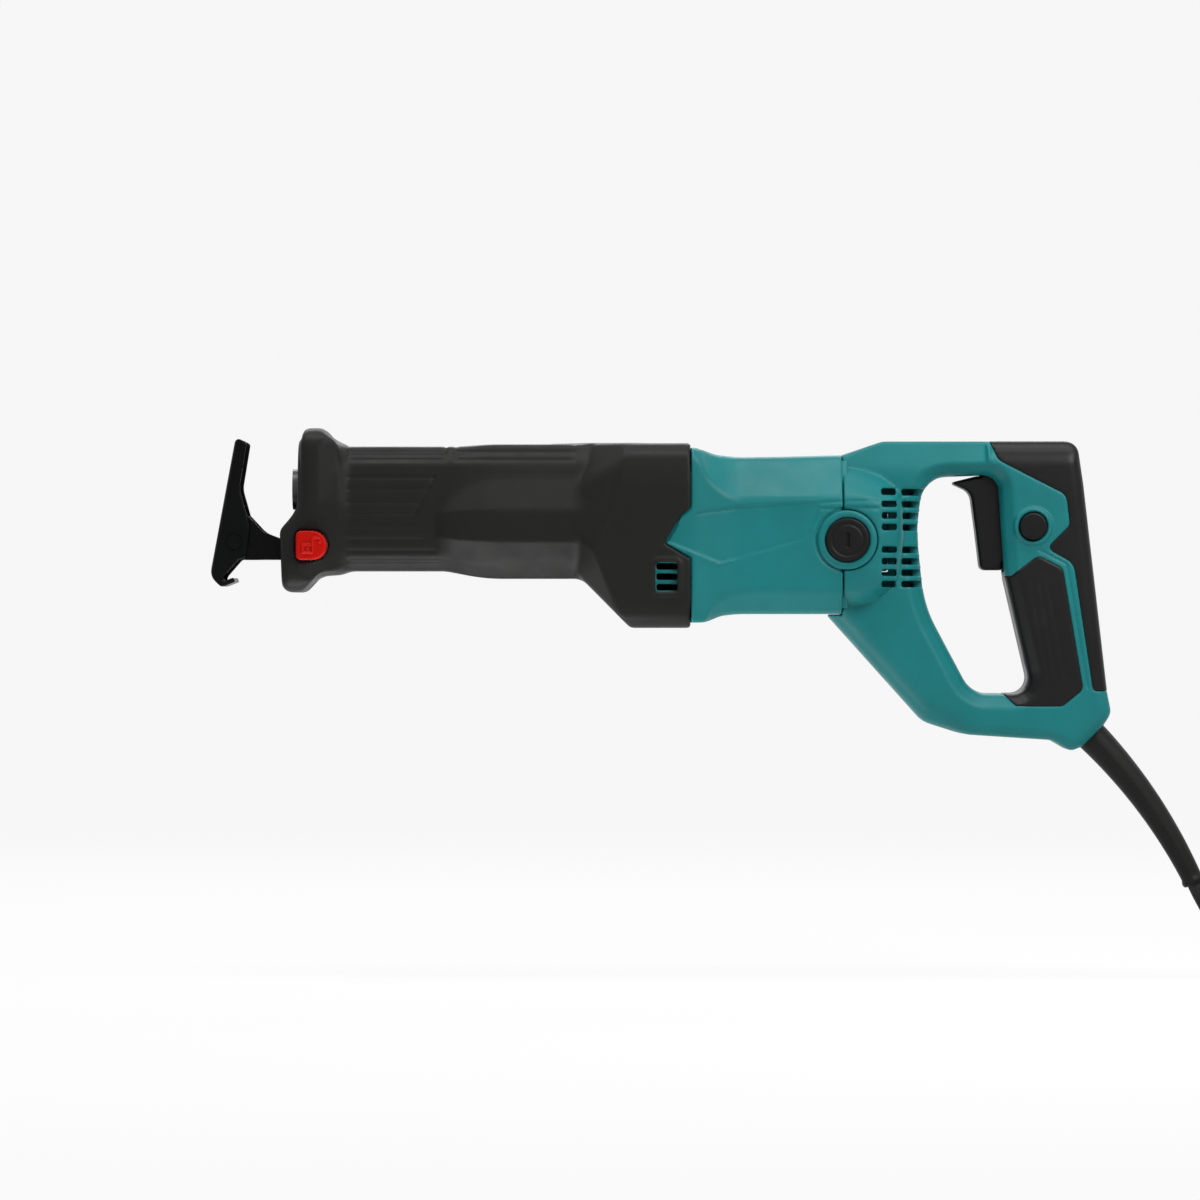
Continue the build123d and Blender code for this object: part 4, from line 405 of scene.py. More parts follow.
def form_points(form, low, high, step, even=True):
    """Samples a form and returns its vertices and quads. An even form is the same at -y and +y."""
    axes = []
    for axis in range(3):
        start, end = low[axis] - 2 * step, high[axis] + 2 * step
        if axis == 1 and even:
            count = math.ceil(max(-start, end) / step)
            axes.append(np.arange(-count, 1, dtype=np.float32) * step)
        else:
            axes.append(np.arange(start, end, step, dtype=np.float32))
    x, y, z = np.ix_(*axes)
    field = np.broadcast_to(form(x, y, z), [len(a) for a in axes]).astype(np.float32)
    if even:
        field = np.concatenate([field, field[:, -2::-1]], 1)
    vertices, quads = surface_net(field)
    start = np.array([a[0] for a in axes])
    return start + vertices * step, quads


def mesh_piece(name, points, body, slot, node):
    """A smooth piece from vertices in millimetres and faces, standing for a CAD node on a body."""
    vertices, faces = points
    mesh = bpy.data.meshes.new(name)
    mesh.from_pydata((np.asarray(vertices) * MM).tolist(), [], [list(face) for face in faces])
    mesh.validate()
    mesh.polygons.foreach_set("use_smooth", [len(face.vertices) == 4 for face in mesh.polygons])
    piece = bpy.data.objects.new(name, mesh)
    bpy.context.scene.collection.objects.link(piece)
    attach(piece, body)
    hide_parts(node)
    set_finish(piece, slot)


def tube_faces(rings, sides):
    """The quads between rings of vertices that all have the same number of sides."""
    faces = []
    for ring in range(rings - 1):
        for side in range(sides):
            here = ring * sides + side
            after = ring * sides + (side + 1) % sides
            faces.append((here, after, after + sides, here + sides))
    return faces


# Boot: nose tube, gear bulge, rear block and front flange
NOSE_SIDE = [(20, 72.2), (27.5, 64), (30, 50), (30, 30), (27.5, 17), (20, 9.5)]
NOSE_EDGE = 1.5
BULGE_SIDE = [(22, 73), (30.6, 56), (38.4, 39.7), (38.4, 24.6), (30.0, 12.6), (23, 5.7)]
BULGE_FRONT_X = -270.0
BULGE_ROUND = 34.0
BULGE_FALL = 11.0
TUBE_FRONT_X, TUBE_END_X = -370.0, -200.0
TUBE_BLEND = 2.5
FLARE_SIDE = [(38, 73.5), (44.5, 68), (47, 58), (47, -6), (44, -14.5), (37, -19)]
FLARE_EDGE = 1.6
BLOCK_MIDDLE = (-195.0, 0.0, 25.0)
BLOCK_FACETS = [
    [(-209, 47, 64.3), (-224.5, 47, 19.9), (-230.5, 37, 42)],
    [(-224.5, 47, 19.9), (-211.7, 47, -11.8), (-230, 31, 8)],
    [(-229.3, 0, 4.5), (-206.4, 0, -18.6), (-206.4, 10, -18.6)],
    [(-226, 22, 73), (-209, 47, 64.3), (-230, 31, 57.5)],
]
FLANGE_OUTLINE = [
    (-369.5, 81.6), (-360.5, 81.6), (-352, 72), (-352, 10), (-362, 8.6), (-370.5, -1.3),
    (-380.5, -1.3), (-381.7, 30), (-371.3, 42), (-371.3, 74),
]
FLANGE_RADII = [4, 4, 3, 3, 8, 5, 5, 6, 8, 10]
FLANGE_HALF = 36.5
FLANGE_FACE = ((-FLANGE_HALF, -3.5), (FLANGE_HALF, 83.5))
FLANGE_CORNER = 17.0
FLANGE_SIDE_ROUND, FLANGE_FACE_ROUND = 5.0, 3.0
FLANGE_FRONT = [(-21.0, -380.5), (-1.3, -380.5), (26.0, -381.7), (45.0, -371.3), (84.0, -371.3)]
FLANGE_BAND = 6.5
FLANGE_FALL = 0.45
FLANGE_BLEND = 7.0
BOOT_INSIDE = 3.4
HOLLOW_FRONT_X = -352.0
MOUTH_FACE = ((-22.0, 11.0), (22.0, 67.0))
MOUTH_CORNER, MOUTH_EDGE = 5.0, 1.5
MOUTH_END_X = -350.0
NOTCH_OUTLINE = [(-170.0, 45.4), (-180.8, 37.4), (-189.1, 23.2), (-170, 11.9)]
NOTCH_RADII = [1, 1.5, 1.5, 1]
WINDOW_X, WINDOW_Z = -188.1, 6.5
WINDOW_HALF, WINDOW_CORNER, WINDOW_EDGE = (5.5, 7.5), 2.0, 0.9
WINDOW_FRAME_HALF, WINDOW_FRAME_CORNER = (7.9, 9.7), 3.6
WINDOW_FRAME_HEIGHT, WINDOW_FRAME_SOFT = 0.8, 1.4
UPPER_STRIPES = [56.4, 50.4, 43.9, 38.4]
LOWER_STRIPES = [30.0, 25.1, 19.6, 14.6]
LOWER_STRIPE_ENDS = [-313.5, -309.7, -303.9, -298.7]
STRIPE_START_X = -347.5
STRIPE_STOP = [(-304.3, 56.4), (-313.9, 38.4)]
STRIPE_SLANT = 0.53
STRIPE_DEPTH, STRIPE_HALF = 0.55, 1.3
TOP_PANELS = [(-347.5, -298.6), (-293.6, -234.0)]
TOP_PANEL_LEVELS = (73.0, 69.2, 65.2)
LOCK_FRONT, LOCK_RADIUS, LOCK_CORNER = 8.1, 7.2, 2.5
LOCK_GAP, LOCK_ARC_GAP = 0.4, 0.05


def lock_outline(grow):
    """The red button's outline, grown by a gap. Its rear arcs just miss each other."""
    front, radius = LOCK_X - LOCK_FRONT - grow, LOCK_RADIUS + grow
    points = [
        (front, LOCK_Z - radius), (LOCK_X + radius, LOCK_Z - radius),
        (LOCK_X + radius, LOCK_Z + radius), (front, LOCK_Z + radius),
    ]
    arc = radius - LOCK_ARC_GAP
    return rounded(points, [LOCK_CORNER, arc, arc, LOCK_CORNER])


def boot_tube(x, out, z, inset=0.0):
    nose = section(NOSE_SIDE, out, z, NOSE_EDGE) + inset
    nose = both(nose, x - TUBE_END_X)
    bulge = section(BULGE_SIDE, out, z, RIM_EDGE) + inset
    ahead = fade(BULGE_FRONT_X - x, BULGE_ROUND)
    bulge = bulge + BULGE_FALL * (1 - np.sqrt(1 - ahead * ahead))
    bulge = both(bulge, x - TUBE_END_X)
    return join(nose, bulge, TUBE_BLEND)


def boot_block(x, out, z, inset=0.0):
    block = section(FLARE_SIDE, out, z, FLARE_EDGE)
    for corners in BLOCK_FACETS:
        block = meet(block, half_space(corners, BLOCK_MIDDLE, x, out, z), SOFT_EDGE)
    return block + inset


def boot_flange(x, y, z):
    out = np.abs(y)
    flange = rounded_outline(FLANGE_OUTLINE, FLANGE_RADII, x, z)
    flange = meet(flange, out - FLANGE_HALF, FLANGE_SIDE_ROUND)
    face = rectangle(y, z, *FLANGE_FACE, FLANGE_CORNER)
    flange = meet(flange, face, FLANGE_FACE_ROUND)
    behind = x - along(FLANGE_FRONT, z) - FLANGE_BAND
    return meet(flange, lean(out, FLANGE_HALF, behind, FLANGE_FALL), RIM_EDGE)


def boot_stripes(form, x, z):
    stop_x, stop_z = STRIPE_STOP[0]
    lines = [STRIPE_STOP]
    for level in UPPER_STRIPES:
        lines.append([(STRIPE_START_X, level), (stop_x - (stop_z - level) * STRIPE_SLANT, level)])
    for level, end in zip(LOWER_STRIPES, LOWER_STRIPE_ENDS):
        lines.append([(STRIPE_START_X, level), (end, level)])
    top, middle, low = TOP_PANEL_LEVELS
    for start, end in TOP_PANELS:
        lines.append([(start, top), (start, low), (end, low), (end, top)])
        lines.append([(start, middle), (end, middle)])
    for line in lines:
        form = furrow(form, line_along(line, x, z), STRIPE_DEPTH, STRIPE_HALF)
    return form


def boot_openings(form, x, y, z):
    """The mouth, the holes for the red button, the notches for the motor's tabs and the windows."""
    out = np.abs(y)
    mouth = both(rectangle(y, z, *MOUTH_FACE, MOUTH_CORNER), x - MOUTH_END_X)
    form = cut(form, mouth, MOUTH_EDGE)
    form = cut(form, outline(lock_outline(LOCK_GAP), x, z), CUT_EDGE)
    notch = both(rounded_outline(NOTCH_OUTLINE, NOTCH_RADII, x, z), SIDE_CUT_TO - out)
    form = cut(form, notch, RIM_EDGE)
    across, up = x - WINDOW_X, z - WINDOW_Z
    edge = bar(across, up, *WINDOW_FRAME_HALF, WINDOW_FRAME_CORNER)
    form = press(form, edge, -WINDOW_FRAME_HEIGHT, WINDOW_FRAME_SOFT)
    window = both(bar(across, up, *WINDOW_HALF, WINDOW_CORNER), SIDE_CUT_TO - out)
    return cut(form, window, WINDOW_EDGE)


def boot_form(x, y, z):
    out = np.abs(y)
    tube = boot_stripes(boot_tube(x, out, z), x, z)
    tube = both(tube, TUBE_FRONT_X - x)
    form = join(tube, boot_block(x, out, z), TUBE_BLEND)
    form = join(form, boot_flange(x, y, z), FLANGE_BLEND)
    form = meet(form, x - BOOT_END_X, SOFT_EDGE)
    inner = either(boot_tube(x, out, z, BOOT_INSIDE), boot_block(x, out, z, BOOT_INSIDE))
    form = without(form, both(inner, HOLLOW_FRONT_X - x))
    return boot_openings(form, x, y, z)


# Motor housing: scooped sides, a bare panel with a ridge, brush bosses and vent slots
MOTOR_TOP = [
    (-177, 71.2), (-174.7, 71.2), (-170.1, 70.1), (-161.6, 67.7), (-148.9, 66.8), (-99, 67.8),
]
MOTOR_BOTTOM = [(-177, -16.3), (-170.8, -16.3), (-158.8, -12.8), (-148.9, -12.1), (-99, -12.1)]
UPPER_CREASE = [
    (-177, 68), (-171.1, 63.8), (-167.9, 57.1), (-163, 51.4), (-157.4, 47.6), (-150.3, 45.5),
    (-99, 45.8),
]
LOWER_CREASE = [
    (-177, -18), (-169.7, -15.6), (-165.1, -8.5), (-158.8, -3.6), (-150.3, -1.1), (-99, -0.8),
]
MOTOR_SIDE = [(-205, 46.5), (-176, 45.6), (-165, 43.4), (-150, 41.2), (-99, 40.5)]
UPPER_SLOPE, LOWER_SLOPE = 0.78, 0.95
CREASE_EDGE, MOTOR_EDGE = 1.5, 2.5
PANEL_OUTLINE = [
    (-190, 30), (-177.1, 35.9), (-170.8, 38.7), (-151.7, 41.2), (-111.2, 42.6), (-112.9, 35.9),
    (-117.2, 27.5), (-121.4, 24.6), (-161.6, 13.3), (-190, 25),
]
PANEL_RADII, PANEL_DEPTH, PANEL_SOFT = [1.0] * 10, 0.55, 0.8
PANEL_RIDGE = [(-190.0, 24.6), (-161.6, 13.0), (-155, 14.6)]
RIDGE_HEIGHT, RIDGE_HALF = 0.35, 1.1
TOP_LINE = [(-177.1, 35.9), (-170.8, 38.7), (-151.7, 41.2), (-99.0, 44.3)]
TOP_LINE_DEPTH, TOP_LINE_HALF = 0.8, 1.0
REAR_LINES = [[(-99.0, 44.3), (-82.5, 44.6)], [(-110.5, 40.6), (-82.5, 40.8)]]
REAR_LINE_DEPTH, REAR_LINE_HALF = 0.6, 0.9
BOOT_GAP = 0.4
TAB_GAP, TAB_INNER, TAB_OVERLAP = 0.5, 36.0, 3.0
SLEEVE_START_X, SLEEVE_OVERLAP = -202.0, 2.0
SLEEVE_OUTSIDE, SLEEVE_INSIDE, SLEEVE_EDGE = 2.65, 5.6, 2.0
SLEEVE_HOLLOW_END_X, MOTOR_HOLLOW_END_X = -172.0, -103.0
LIP_OUTSIDE, LIP_INSIDE, LIP_REACH = 3.0, 4.6, 3.0
FRAME_RIB, FRAME_RIB_HALF = ((-186.0, -14.5), (-179.0, 14.5)), 1.2
FRAME_SLOT_X, FRAME_SLOT_HALF, FRAME_SLOT_CORNER = -187.75, (5.15, 1.4), 0.6
FRAME_SLOT_ROWS = [11.8, 6.7, 1.3]
REAR_TUBE_RADII, REAR_TUBE_X = (27.6, 30.0), (-103.0, -85.4)
REAR_END_X = (-88.05, -85.45)
REAR_HUB_RADIUS, REAR_HUB_X, REAR_BORE = 15.5, (-88.0, -76.0), 6.0
BOSS_RADIUS, BOSS_FACE, BOSS_INNER = 14.8, 41.8, 24.0
BOSS_GROOVE, BOSS_GROOVE_DEPTH, BOSS_GROOVE_HALF = 15.6, 1.0, 1.1
CAP_SEAT_RADIUS, CAP_SEAT_FACE = 11.1, 38.8
BRUSH_HOLE_RADIUS, BRUSH_HOLE_INNER = 7.6, 10.0


def motor_case(x, out, z):
    """The motor's outer form, also used for the front of the handle."""
    half = along(MOTOR_SIDE, x)
    upper = lean(out, half, z - along(UPPER_CREASE, x), UPPER_SLOPE)
    lower = lean(out, half, along(LOWER_CREASE, x) - z, LOWER_SLOPE)
    form = meet(meet(out - half, upper, CREASE_EDGE), lower, CREASE_EDGE)
    form = meet(form, z - along(MOTOR_TOP, x), MOTOR_EDGE)
    return meet(form, along(MOTOR_BOTTOM, x) - z, MOTOR_EDGE)


def motor_panel(form, x, z):
    panel = rounded_outline(PANEL_OUTLINE, PANEL_RADII, x, z)
    form = press(form, panel, PANEL_DEPTH, PANEL_SOFT)
    return furrow(form, line_along(PANEL_RIDGE, x, z), -RIDGE_HEIGHT, RIDGE_HALF)


def rear_lines(form, x, z):
    for line in REAR_LINES:
        form = furrow(form, line_along(line, x, z), REAR_LINE_DEPTH, REAR_LINE_HALF)
    return form


def motor_skin(case, x, out, z):
    """The outside, with the tabs that fill the boot's notches and the sleeve under the boot."""
    body = motor_panel(case, x, z)
    body = furrow(body, line_along(TOP_LINE, x, z), TOP_LINE_DEPTH, TOP_LINE_HALF)
    body = rear_lines(body, x, z)
    body = both(body, BOOT_END_X + BOOT_GAP - x)
    notch = rounded_outline(NOTCH_OUTLINE, NOTCH_RADII, x, z) + TAB_GAP
    tab = both(both(out - along(MOTOR_SIDE, x), TAB_INNER - out), notch)
    tab = motor_panel(both(tab, x - BOOT_END_X - TAB_OVERLAP), x, z)
    sleeve = section(FLARE_SIDE, out, z, SLEEVE_EDGE) + SLEEVE_OUTSIDE
    sleeve = both(sleeve, x - BOOT_END_X - SLEEVE_OVERLAP)
    body = either(either(body, tab), sleeve)
    return meet(body, x - SEAM_X, SPLIT_EDGE)


def motor_rear(x, y, z):
    """The tube, wall and bearing hub at the motor's rear end."""
    radius = np.hypot(y, z - MOTOR_Z)
    tube = both(between(radius, *REAR_TUBE_RADII), between(x, *REAR_TUBE_X))
    end = both(radius - REAR_TUBE_RADII[1], between(x, *REAR_END_X))
    hub = both(radius - REAR_HUB_RADIUS, between(x, *REAR_HUB_X))
    return both(either(either(tube, end), hub), REAR_BORE - radius)


def motor_inside(case, x, y, z):
    """The rib behind the boot's windows, the lip behind the seam and the rear end."""
    rib = both(rectangle(x, z, *FRAME_RIB), np.abs(y) - FRAME_RIB_HALF)
    lip = both(between(case, -LIP_INSIDE, -LIP_OUTSIDE), np.abs(x - SEAM_X) - LIP_REACH)
    return either(either(rib, lip), motor_rear(x, y, z))


def motor_form(x, y, z):
    out = np.abs(y)
    case = motor_case(x, out, z)
    body = motor_skin(case, x, out, z)
    inner = section(FLARE_SIDE, out, z, SLEEVE_EDGE) + SLEEVE_INSIDE
    inner = both(inner, x - SLEEVE_HOLLOW_END_X)
    inner = either(inner, both(case + SHELL_WALL, x - MOTOR_HOLLOW_END_X))
    body = without(body, inner)
    radius = np.hypot(x - BRUSH_X, z - MOTOR_Z)
    body = furrow(body, np.abs(radius - BOSS_GROOVE), BOSS_GROOVE_DEPTH, BOSS_GROOVE_HALF)
    boss = meet(radius - BOSS_RADIUS, out - BOSS_FACE, SOFT_EDGE)
    body = either(body, both(boss, BOSS_INNER - out))
    body = either(body, motor_inside(case, x, y, z))
    body = both(body, SLEEVE_START_X - x)
    body = cut(body, both(radius - CAP_SEAT_RADIUS, CAP_SEAT_FACE - out), CUT_EDGE)
    body = without(body, both(radius - BRUSH_HOLE_RADIUS, BRUSH_HOLE_INNER - out))
    for level in FRAME_SLOT_ROWS:
        slot = bar(x - FRAME_SLOT_X, z - level, *FRAME_SLOT_HALF, FRAME_SLOT_CORNER)
        body = without(body, both(slot, SIDE_CUT_TO - out))
    return body


# Brush caps: flush discs with a turned ring and a slot for a screwdriver
CAP_RADIUS, CAP_FACE, CAP_THICK, CAP_EDGE = 10.9, 43.0, 2.4, 0.9
CAP_RING, CAP_RING_DEPTH, CAP_RING_HALF = 7.8, 0.5, 0.8
CAP_SLOT_HALF, CAP_SLOT_CORNER, CAP_SLOT_DEPTH = (0.75, 3.7), 0.5, 1.3
CAP_STEM_RADIUS, CAP_STEM = 7.3, (32.0, 42.0)


def cap_form(x, y, z):
    out = np.abs(y)
    radius = np.hypot(x - BRUSH_X, z - MOTOR_Z)
    form = meet(radius - CAP_RADIUS, out - CAP_FACE, CAP_EDGE)
    form = both(form, CAP_FACE - CAP_THICK - out)
    form = furrow(form, np.abs(radius - CAP_RING), CAP_RING_DEPTH, CAP_RING_HALF)
    slot = bar(x - BRUSH_X, z - MOTOR_Z, *CAP_SLOT_HALF, CAP_SLOT_CORNER)
    slot = both(slot, CAP_FACE - CAP_SLOT_DEPTH - out)
    stem = both(radius - CAP_STEM_RADIUS, between(out, *CAP_STEM))
    return either(cut(form, slot, SPLIT_EDGE), stem)


# Handle: two shells, soft covers let into them, vents, button ring and screw wells
HANDLE_OUTLINE = [
    (-112, 66), (-100, 67.9), (-79.2, 74.9), (19, 74.9), (22.2, 53), (34, -50),
    (36.4, -62), (32.6, -68), (21.7, -78.9), (15.8, -81.2), (6.3, -75.6), (-38.6, -72.7),
    (-58, -66.5), (-106, -13), (-112, 0),
]
HANDLE_RADII = [7, 8, 12, 7, 60, 50, 7, 3, 3, 5, 8, 40, 14, 8, 8]
HANDLE_ROUND = 6.0
OPENING_OUTLINE = [
    (-61.4, 30), (-58, 57), (-20.8, 58.3), (-17.4, 8), (-3.4, -52.2), (-34, -52.2),
    (-57.5, -8),
]
OPENING_RADII = [80, 14, 8, 20, 8, 14, 60]
OPENING_EDGE = 2.5
RIM_WIDTH, RIM_SLOPE = 7.0, 0.85
STRUT_X, STRUT_FADE, STRUT_ROUND = -36.0, 12.0, 12.0
TOP_FACET_Z, TOP_FACET_SLOPE, TOP_FACET_END_X, TOP_FACET_FADE = 61.0, 0.3, -27.0, 6.0
BROW_Z, BROW_SLOPE, BROW_START_X, BROW_FADE = 66.5, 0.62, -24.0, 8.0
FACET_AWAY, TOP_FACET_EDGE, BROW_EDGE = 12.0, 1.0, 2.0
DOME_OUTLINE = [
    (-130, 65.5), (-98.5, 65.3), (-88.5, 62.6), (-80.4, 58.6), (-73.6, 52.2), (-70.2, 47.5),
    (-68.9, 40), (-68.6, 26.6), (-69.9, 15.8), (-72.3, 4), (-80.4, -6.4), (-88.5, -9.8),
    (-99.2, -11.8), (-130, -12),
]
DOME_ROUND, DOME_BLEND = 17.0, 1.5
BAR_WALL = 4.8
DOME_HOLLOW_END_X, BAR_HOLLOW_END_X = -63.0, -40.0
SEAM_WIDTH, STRUT_TOP_Z = 0.7, -12.3
HALVES_GAP, OPEN_AIR = 0.15, 5.0
BOSS_ROOM, BOSS_ROOM_INNER = 15.2, 15.0
VENT_ROWS = [49.2, 43.1, 37.3, 31.4, 20.2, 14.4, 8.7, 3.0]
VENT_COLUMNS = [(-80.4, -72.6), (-69.6, -50.0)]
VENT_HALF, VENT_CORNER, VENT_INNER = 1.6, 0.9, 8.0
VENT_RIB, VENT_RIB_HALF = ((-84.5, -5.0), (-62.5, 57.0)), 1.6
HUB_ROOM, HUB_ROOM_END_X = 15.6, -75.5
HANDLE_SCREWS = [
    (-64, 66.5), (-6, 66.5), (2.5, -30), (-8, -62.5), (-50, -57.5), (-80, -27),
]
SCREW_WELL, SCREW_WELL_DEPTH, COVER_WELL_INNER = 3.9, 4.5, 5.0
RING_RADIUS, RING_HEIGHT, RING_INNER = 9.6, 1.5, 12.0
BUTTON_HOLE, BUTTON_HOLE_INNER = 7.3, 9.0
STEM_X, STEM_HOLE, STEM_INNER = -1.8, 3.2, 1.0
GUARD_HOLE, GUARD_HOLE_DEPTH = 5.5, 8.0
REAR_COVER = [
    (-25.1, 90), (-25.1, 75), (-20.6, 65.4), (13.4, 48.1), (15.3, 32.7), (3.7, 21.1), (17.2, 13.4),
    (26.9, -50.7), (60, -50.7), (60, 90),
]
REAR_COVER_RADII = [1, 3, 4, 6, 4, 2.5, 8, 2, 1, 1]
FRONT_COVER = [
    (-0.8, 17.3), (-14.2, 7), (-30, 7), (-30, -40), (-12, -58.4), (11.5, -58.4),
    (21.7, -50), (11.5, 10.9),
]
FRONT_COVER_RADII = [4, 1, 1, 1, 3, 5, 4, 5]
COVER_WALL, COVER_THICK, COVER_PROUD, COVER_OVERLAP = 2.2, 2.1, 0.2, 0.15
COVER_GROOVE = [(-0.5, 20.3), (13.6, 13.0), (24.2, -49.2)]
COVER_GROOVE_DEPTH, GRIP_GROOVE_DEPTH, GROOVE_HALF = 0.7, 0.35, 0.9
GRIP_GROOVES = [
    [(-4.5 + shift, 6.0 - shift / 2), (4.0 + shift, -44.0)] for shift in (0.0, 4.6, 9.2)
]
TRIGGER_OUTLINE = [
    (-44.5, 54.2), (-31, 57.6), (-29, 57.4), (-29, 68.3), (-18.7, 68.3), (-17, 46),
    (-10.4, 46), (-10.4, 14), (-17.9, 14), (-17.9, 10), (-29.2, 10), (-31.6, 30),
    (-34.2, 49.5),
]
TRIGGER_RADII = [0.8, 8, 0.4, 4.5, 4.5, 2, 2, 2, 1, 1.5, 3, 60, 7]
TRIGGER_PIVOT, TRIGGER_BORE = (-24.0, 63.5), 2.05
TRIGGER_HALF, TRIGGER_EDGE, TRIGGER_WALL = 8.5, 2.2, 2.0
TRIGGER_HOLLOW = ((-27.5, 12.5), (-12.5, 43.0))
TRIGGER_GAP, TRIGGER_SIDE_GAP = 0.7, 0.4
TRIGGER_ROOMS = [((-30.0, 9.0), (-4.5, 54.0)), ((-30.0, 54.0), (-15.4, 69.6))]


def handle_bar(x, out, z, inset=0.0):
    """The D of the handle, with the rim of its opening bevelled."""
    outer = rounded_outline(HANDLE_OUTLINE, HANDLE_RADII, x, z)
    hole = rounded_outline(OPENING_OUTLINE, OPENING_RADII, x, z)
    form = meet(outer, out - HANDLE_HALF, HANDLE_ROUND)
    strut = fade(-z, STRUT_FADE) * fade(STRUT_X - x, STRUT_FADE)
    form = form + strut * (meet(outer, out - HANDLE_HALF, STRUT_ROUND) - form)
    top = lean(out, HANDLE_HALF, z - TOP_FACET_Z, TOP_FACET_SLOPE)
    top = top - FACET_AWAY * fade(x - TOP_FACET_END_X, TOP_FACET_FADE)
    form = meet(form, top, TOP_FACET_EDGE)
    form = meet(form, lean(out, HANDLE_HALF, RIM_WIDTH - hole, RIM_SLOPE), RIM_EDGE)
    brow = lean(out, HANDLE_HALF, z - BROW_Z, BROW_SLOPE)
    brow = brow - FACET_AWAY * fade(BROW_START_X - x, BROW_FADE)
    form = meet(form, brow, BROW_EDGE)
    return meet(form, -hole, OPENING_EDGE) + inset


def handle_dome(x, out, z):
    """The rounded end of the motor's form, where the vents are."""
    return meet(motor_case(x, out, z), outline(DOME_OUTLINE, x, z), DOME_ROUND)


def handle_skin(x, out, z):
    form = join(handle_bar(x, out, z), handle_dome(x, out, z), DOME_BLEND)
    for points, radii in ((REAR_COVER, REAR_COVER_RADII), (FRONT_COVER, FRONT_COVER_RADII)):
        form = sink(form, rounded_outline(points, radii, x, z), COVER_WALL)
    form = furrow(form, line_along(COVER_GROOVE, x, z), COVER_GROOVE_DEPTH, GROOVE_HALF)
    return rear_lines(form, x, z)


def handle_hollow(x, out, z):
    inside = both(handle_dome(x, out, z) + SHELL_WALL, x - DOME_HOLLOW_END_X)
    bar_inside = both(handle_bar(x, out, z, BAR_WALL), x - BAR_HOLLOW_END_X)
    return either(inside, bar_inside)


def handle_vents(form, x, out, z):
    for level in VENT_ROWS:
        for start, end in VENT_COLUMNS:
            low, high = (start, level - VENT_HALF), (end, level + VENT_HALF)
            slot = rectangle(x, z, low, high, VENT_CORNER)
            form = without(form, both(slot, VENT_INNER - out))
    return form


def right_features(form, x, out, z):
    """The rib behind the vents and the wells of the screws."""
    rib = both(rectangle(x, z, *VENT_RIB), out - VENT_RIB_HALF)
    hub = both(np.abs(z - MOTOR_Z) - HUB_ROOM, x - HUB_ROOM_END_X)
    form = either(form, without(rib, hub))
    for place_x, place_z in HANDLE_SCREWS:
        well = np.hypot(x - place_x, z - place_z) - SCREW_WELL
        form = cut(form, both(well, HANDLE_HALF - SCREW_WELL_DEPTH - out), CUT_EDGE)
    return form


def left_features(form, x, out, z):
    """The ring and the hole of the lock-on button."""
    radius = np.hypot(x - BUTTON_X, z - BUTTON_Z)
    ring = meet(radius - RING_RADIUS, out - HANDLE_HALF - RING_HEIGHT, SOFT_EDGE)
    form = join(form, both(ring, RING_INNER - out), RIM_EDGE)
    form = cut(form, both(radius - BUTTON_HOLE, BUTTON_HOLE_INNER - out), CUT_EDGE)
    stem = np.hypot(x - STEM_X, z - BUTTON_Z) - STEM_HOLE
    return without(form, both(stem, STEM_INNER - out))


def trigger_room(x, y, z):
    gap = rounded_outline(TRIGGER_OUTLINE, TRIGGER_RADII, x, z) - TRIGGER_GAP
    for low, high in TRIGGER_ROOMS:
        gap = either(gap, rectangle(x, z, low, high))
    return both(gap, np.abs(y) - TRIGGER_HALF - TRIGGER_SIDE_GAP)


def guard_room(x, y, z):
    """The hole that the cord goes in by, along the start of the guard."""
    across, up = x - GUARD_START[0], z - GUARD_START[1]
    cosine, sine = math.cos(GUARD_ANGLES[0]), math.sin(GUARD_ANGLES[0])
    radius = np.hypot(across * sine + up * cosine, y)
    depth = across * cosine - up * sine
    return both(radius - GUARD_HOLE, -GUARD_HOLE_DEPTH - depth)


def shell_form(x, y, z, right):
    """One half of the handle, and open air on the other side of the middle."""
    out = np.abs(y)
    form = both(handle_skin(x, out, z), -handle_hollow(x, out, z))
    form = meet(form, either(SEAM_X + SEAM_WIDTH - x, z - STRUT_TOP_Z), SPLIT_EDGE)
    boss = np.hypot(x - BRUSH_X, z - MOTOR_Z) - BOSS_ROOM
    form = cut(form, both(boss, BOSS_ROOM_INNER - out), FINE_EDGE)
    form = handle_vents(form, x, out, z)
    features = right_features if right else left_features
    form = features(form, x, out, z)
    form = without(form, trigger_room(x, y, z))
    form = without(form, guard_room(x, y, z))
    form = meet(form, HALVES_GAP - out, FINE_EDGE)
    return np.where((y > 0) == right, form, OPEN_AIR)


def left_form(x, y, z):
    return shell_form(x, y, z, False)


def right_form(x, y, z):
    return shell_form(x, y, z, True)


def cover_form(x, y, z, points, radii, grooves):
    """A soft cover: a skin over the handle within an outline."""
    outer = handle_bar(x, np.abs(y), z)
    skin = outer - COVER_PROUD
    for line in grooves:
        skin = furrow(skin, line_along(line, x, z), GRIP_GROOVE_DEPTH, GROOVE_HALF)
    form = meet(skin, rounded_outline(points, radii, x, z) - COVER_OVERLAP, CUT_EDGE)
    form = without(form, outer + COVER_THICK)
    form = without(form, trigger_room(x, y, z))
    for place_x, place_z in HANDLE_SCREWS:
        well = np.hypot(x - place_x, z - place_z) - SCREW_WELL
        form = without(form, both(well, COVER_WELL_INNER - y))
    return form


def rear_cover_form(x, y, z):
    return cover_form(x, y, z, REAR_COVER, REAR_COVER_RADII, [])


def front_cover_form(x, y, z):
    return cover_form(x, y, z, FRONT_COVER, FRONT_COVER_RADII, GRIP_GROOVES)


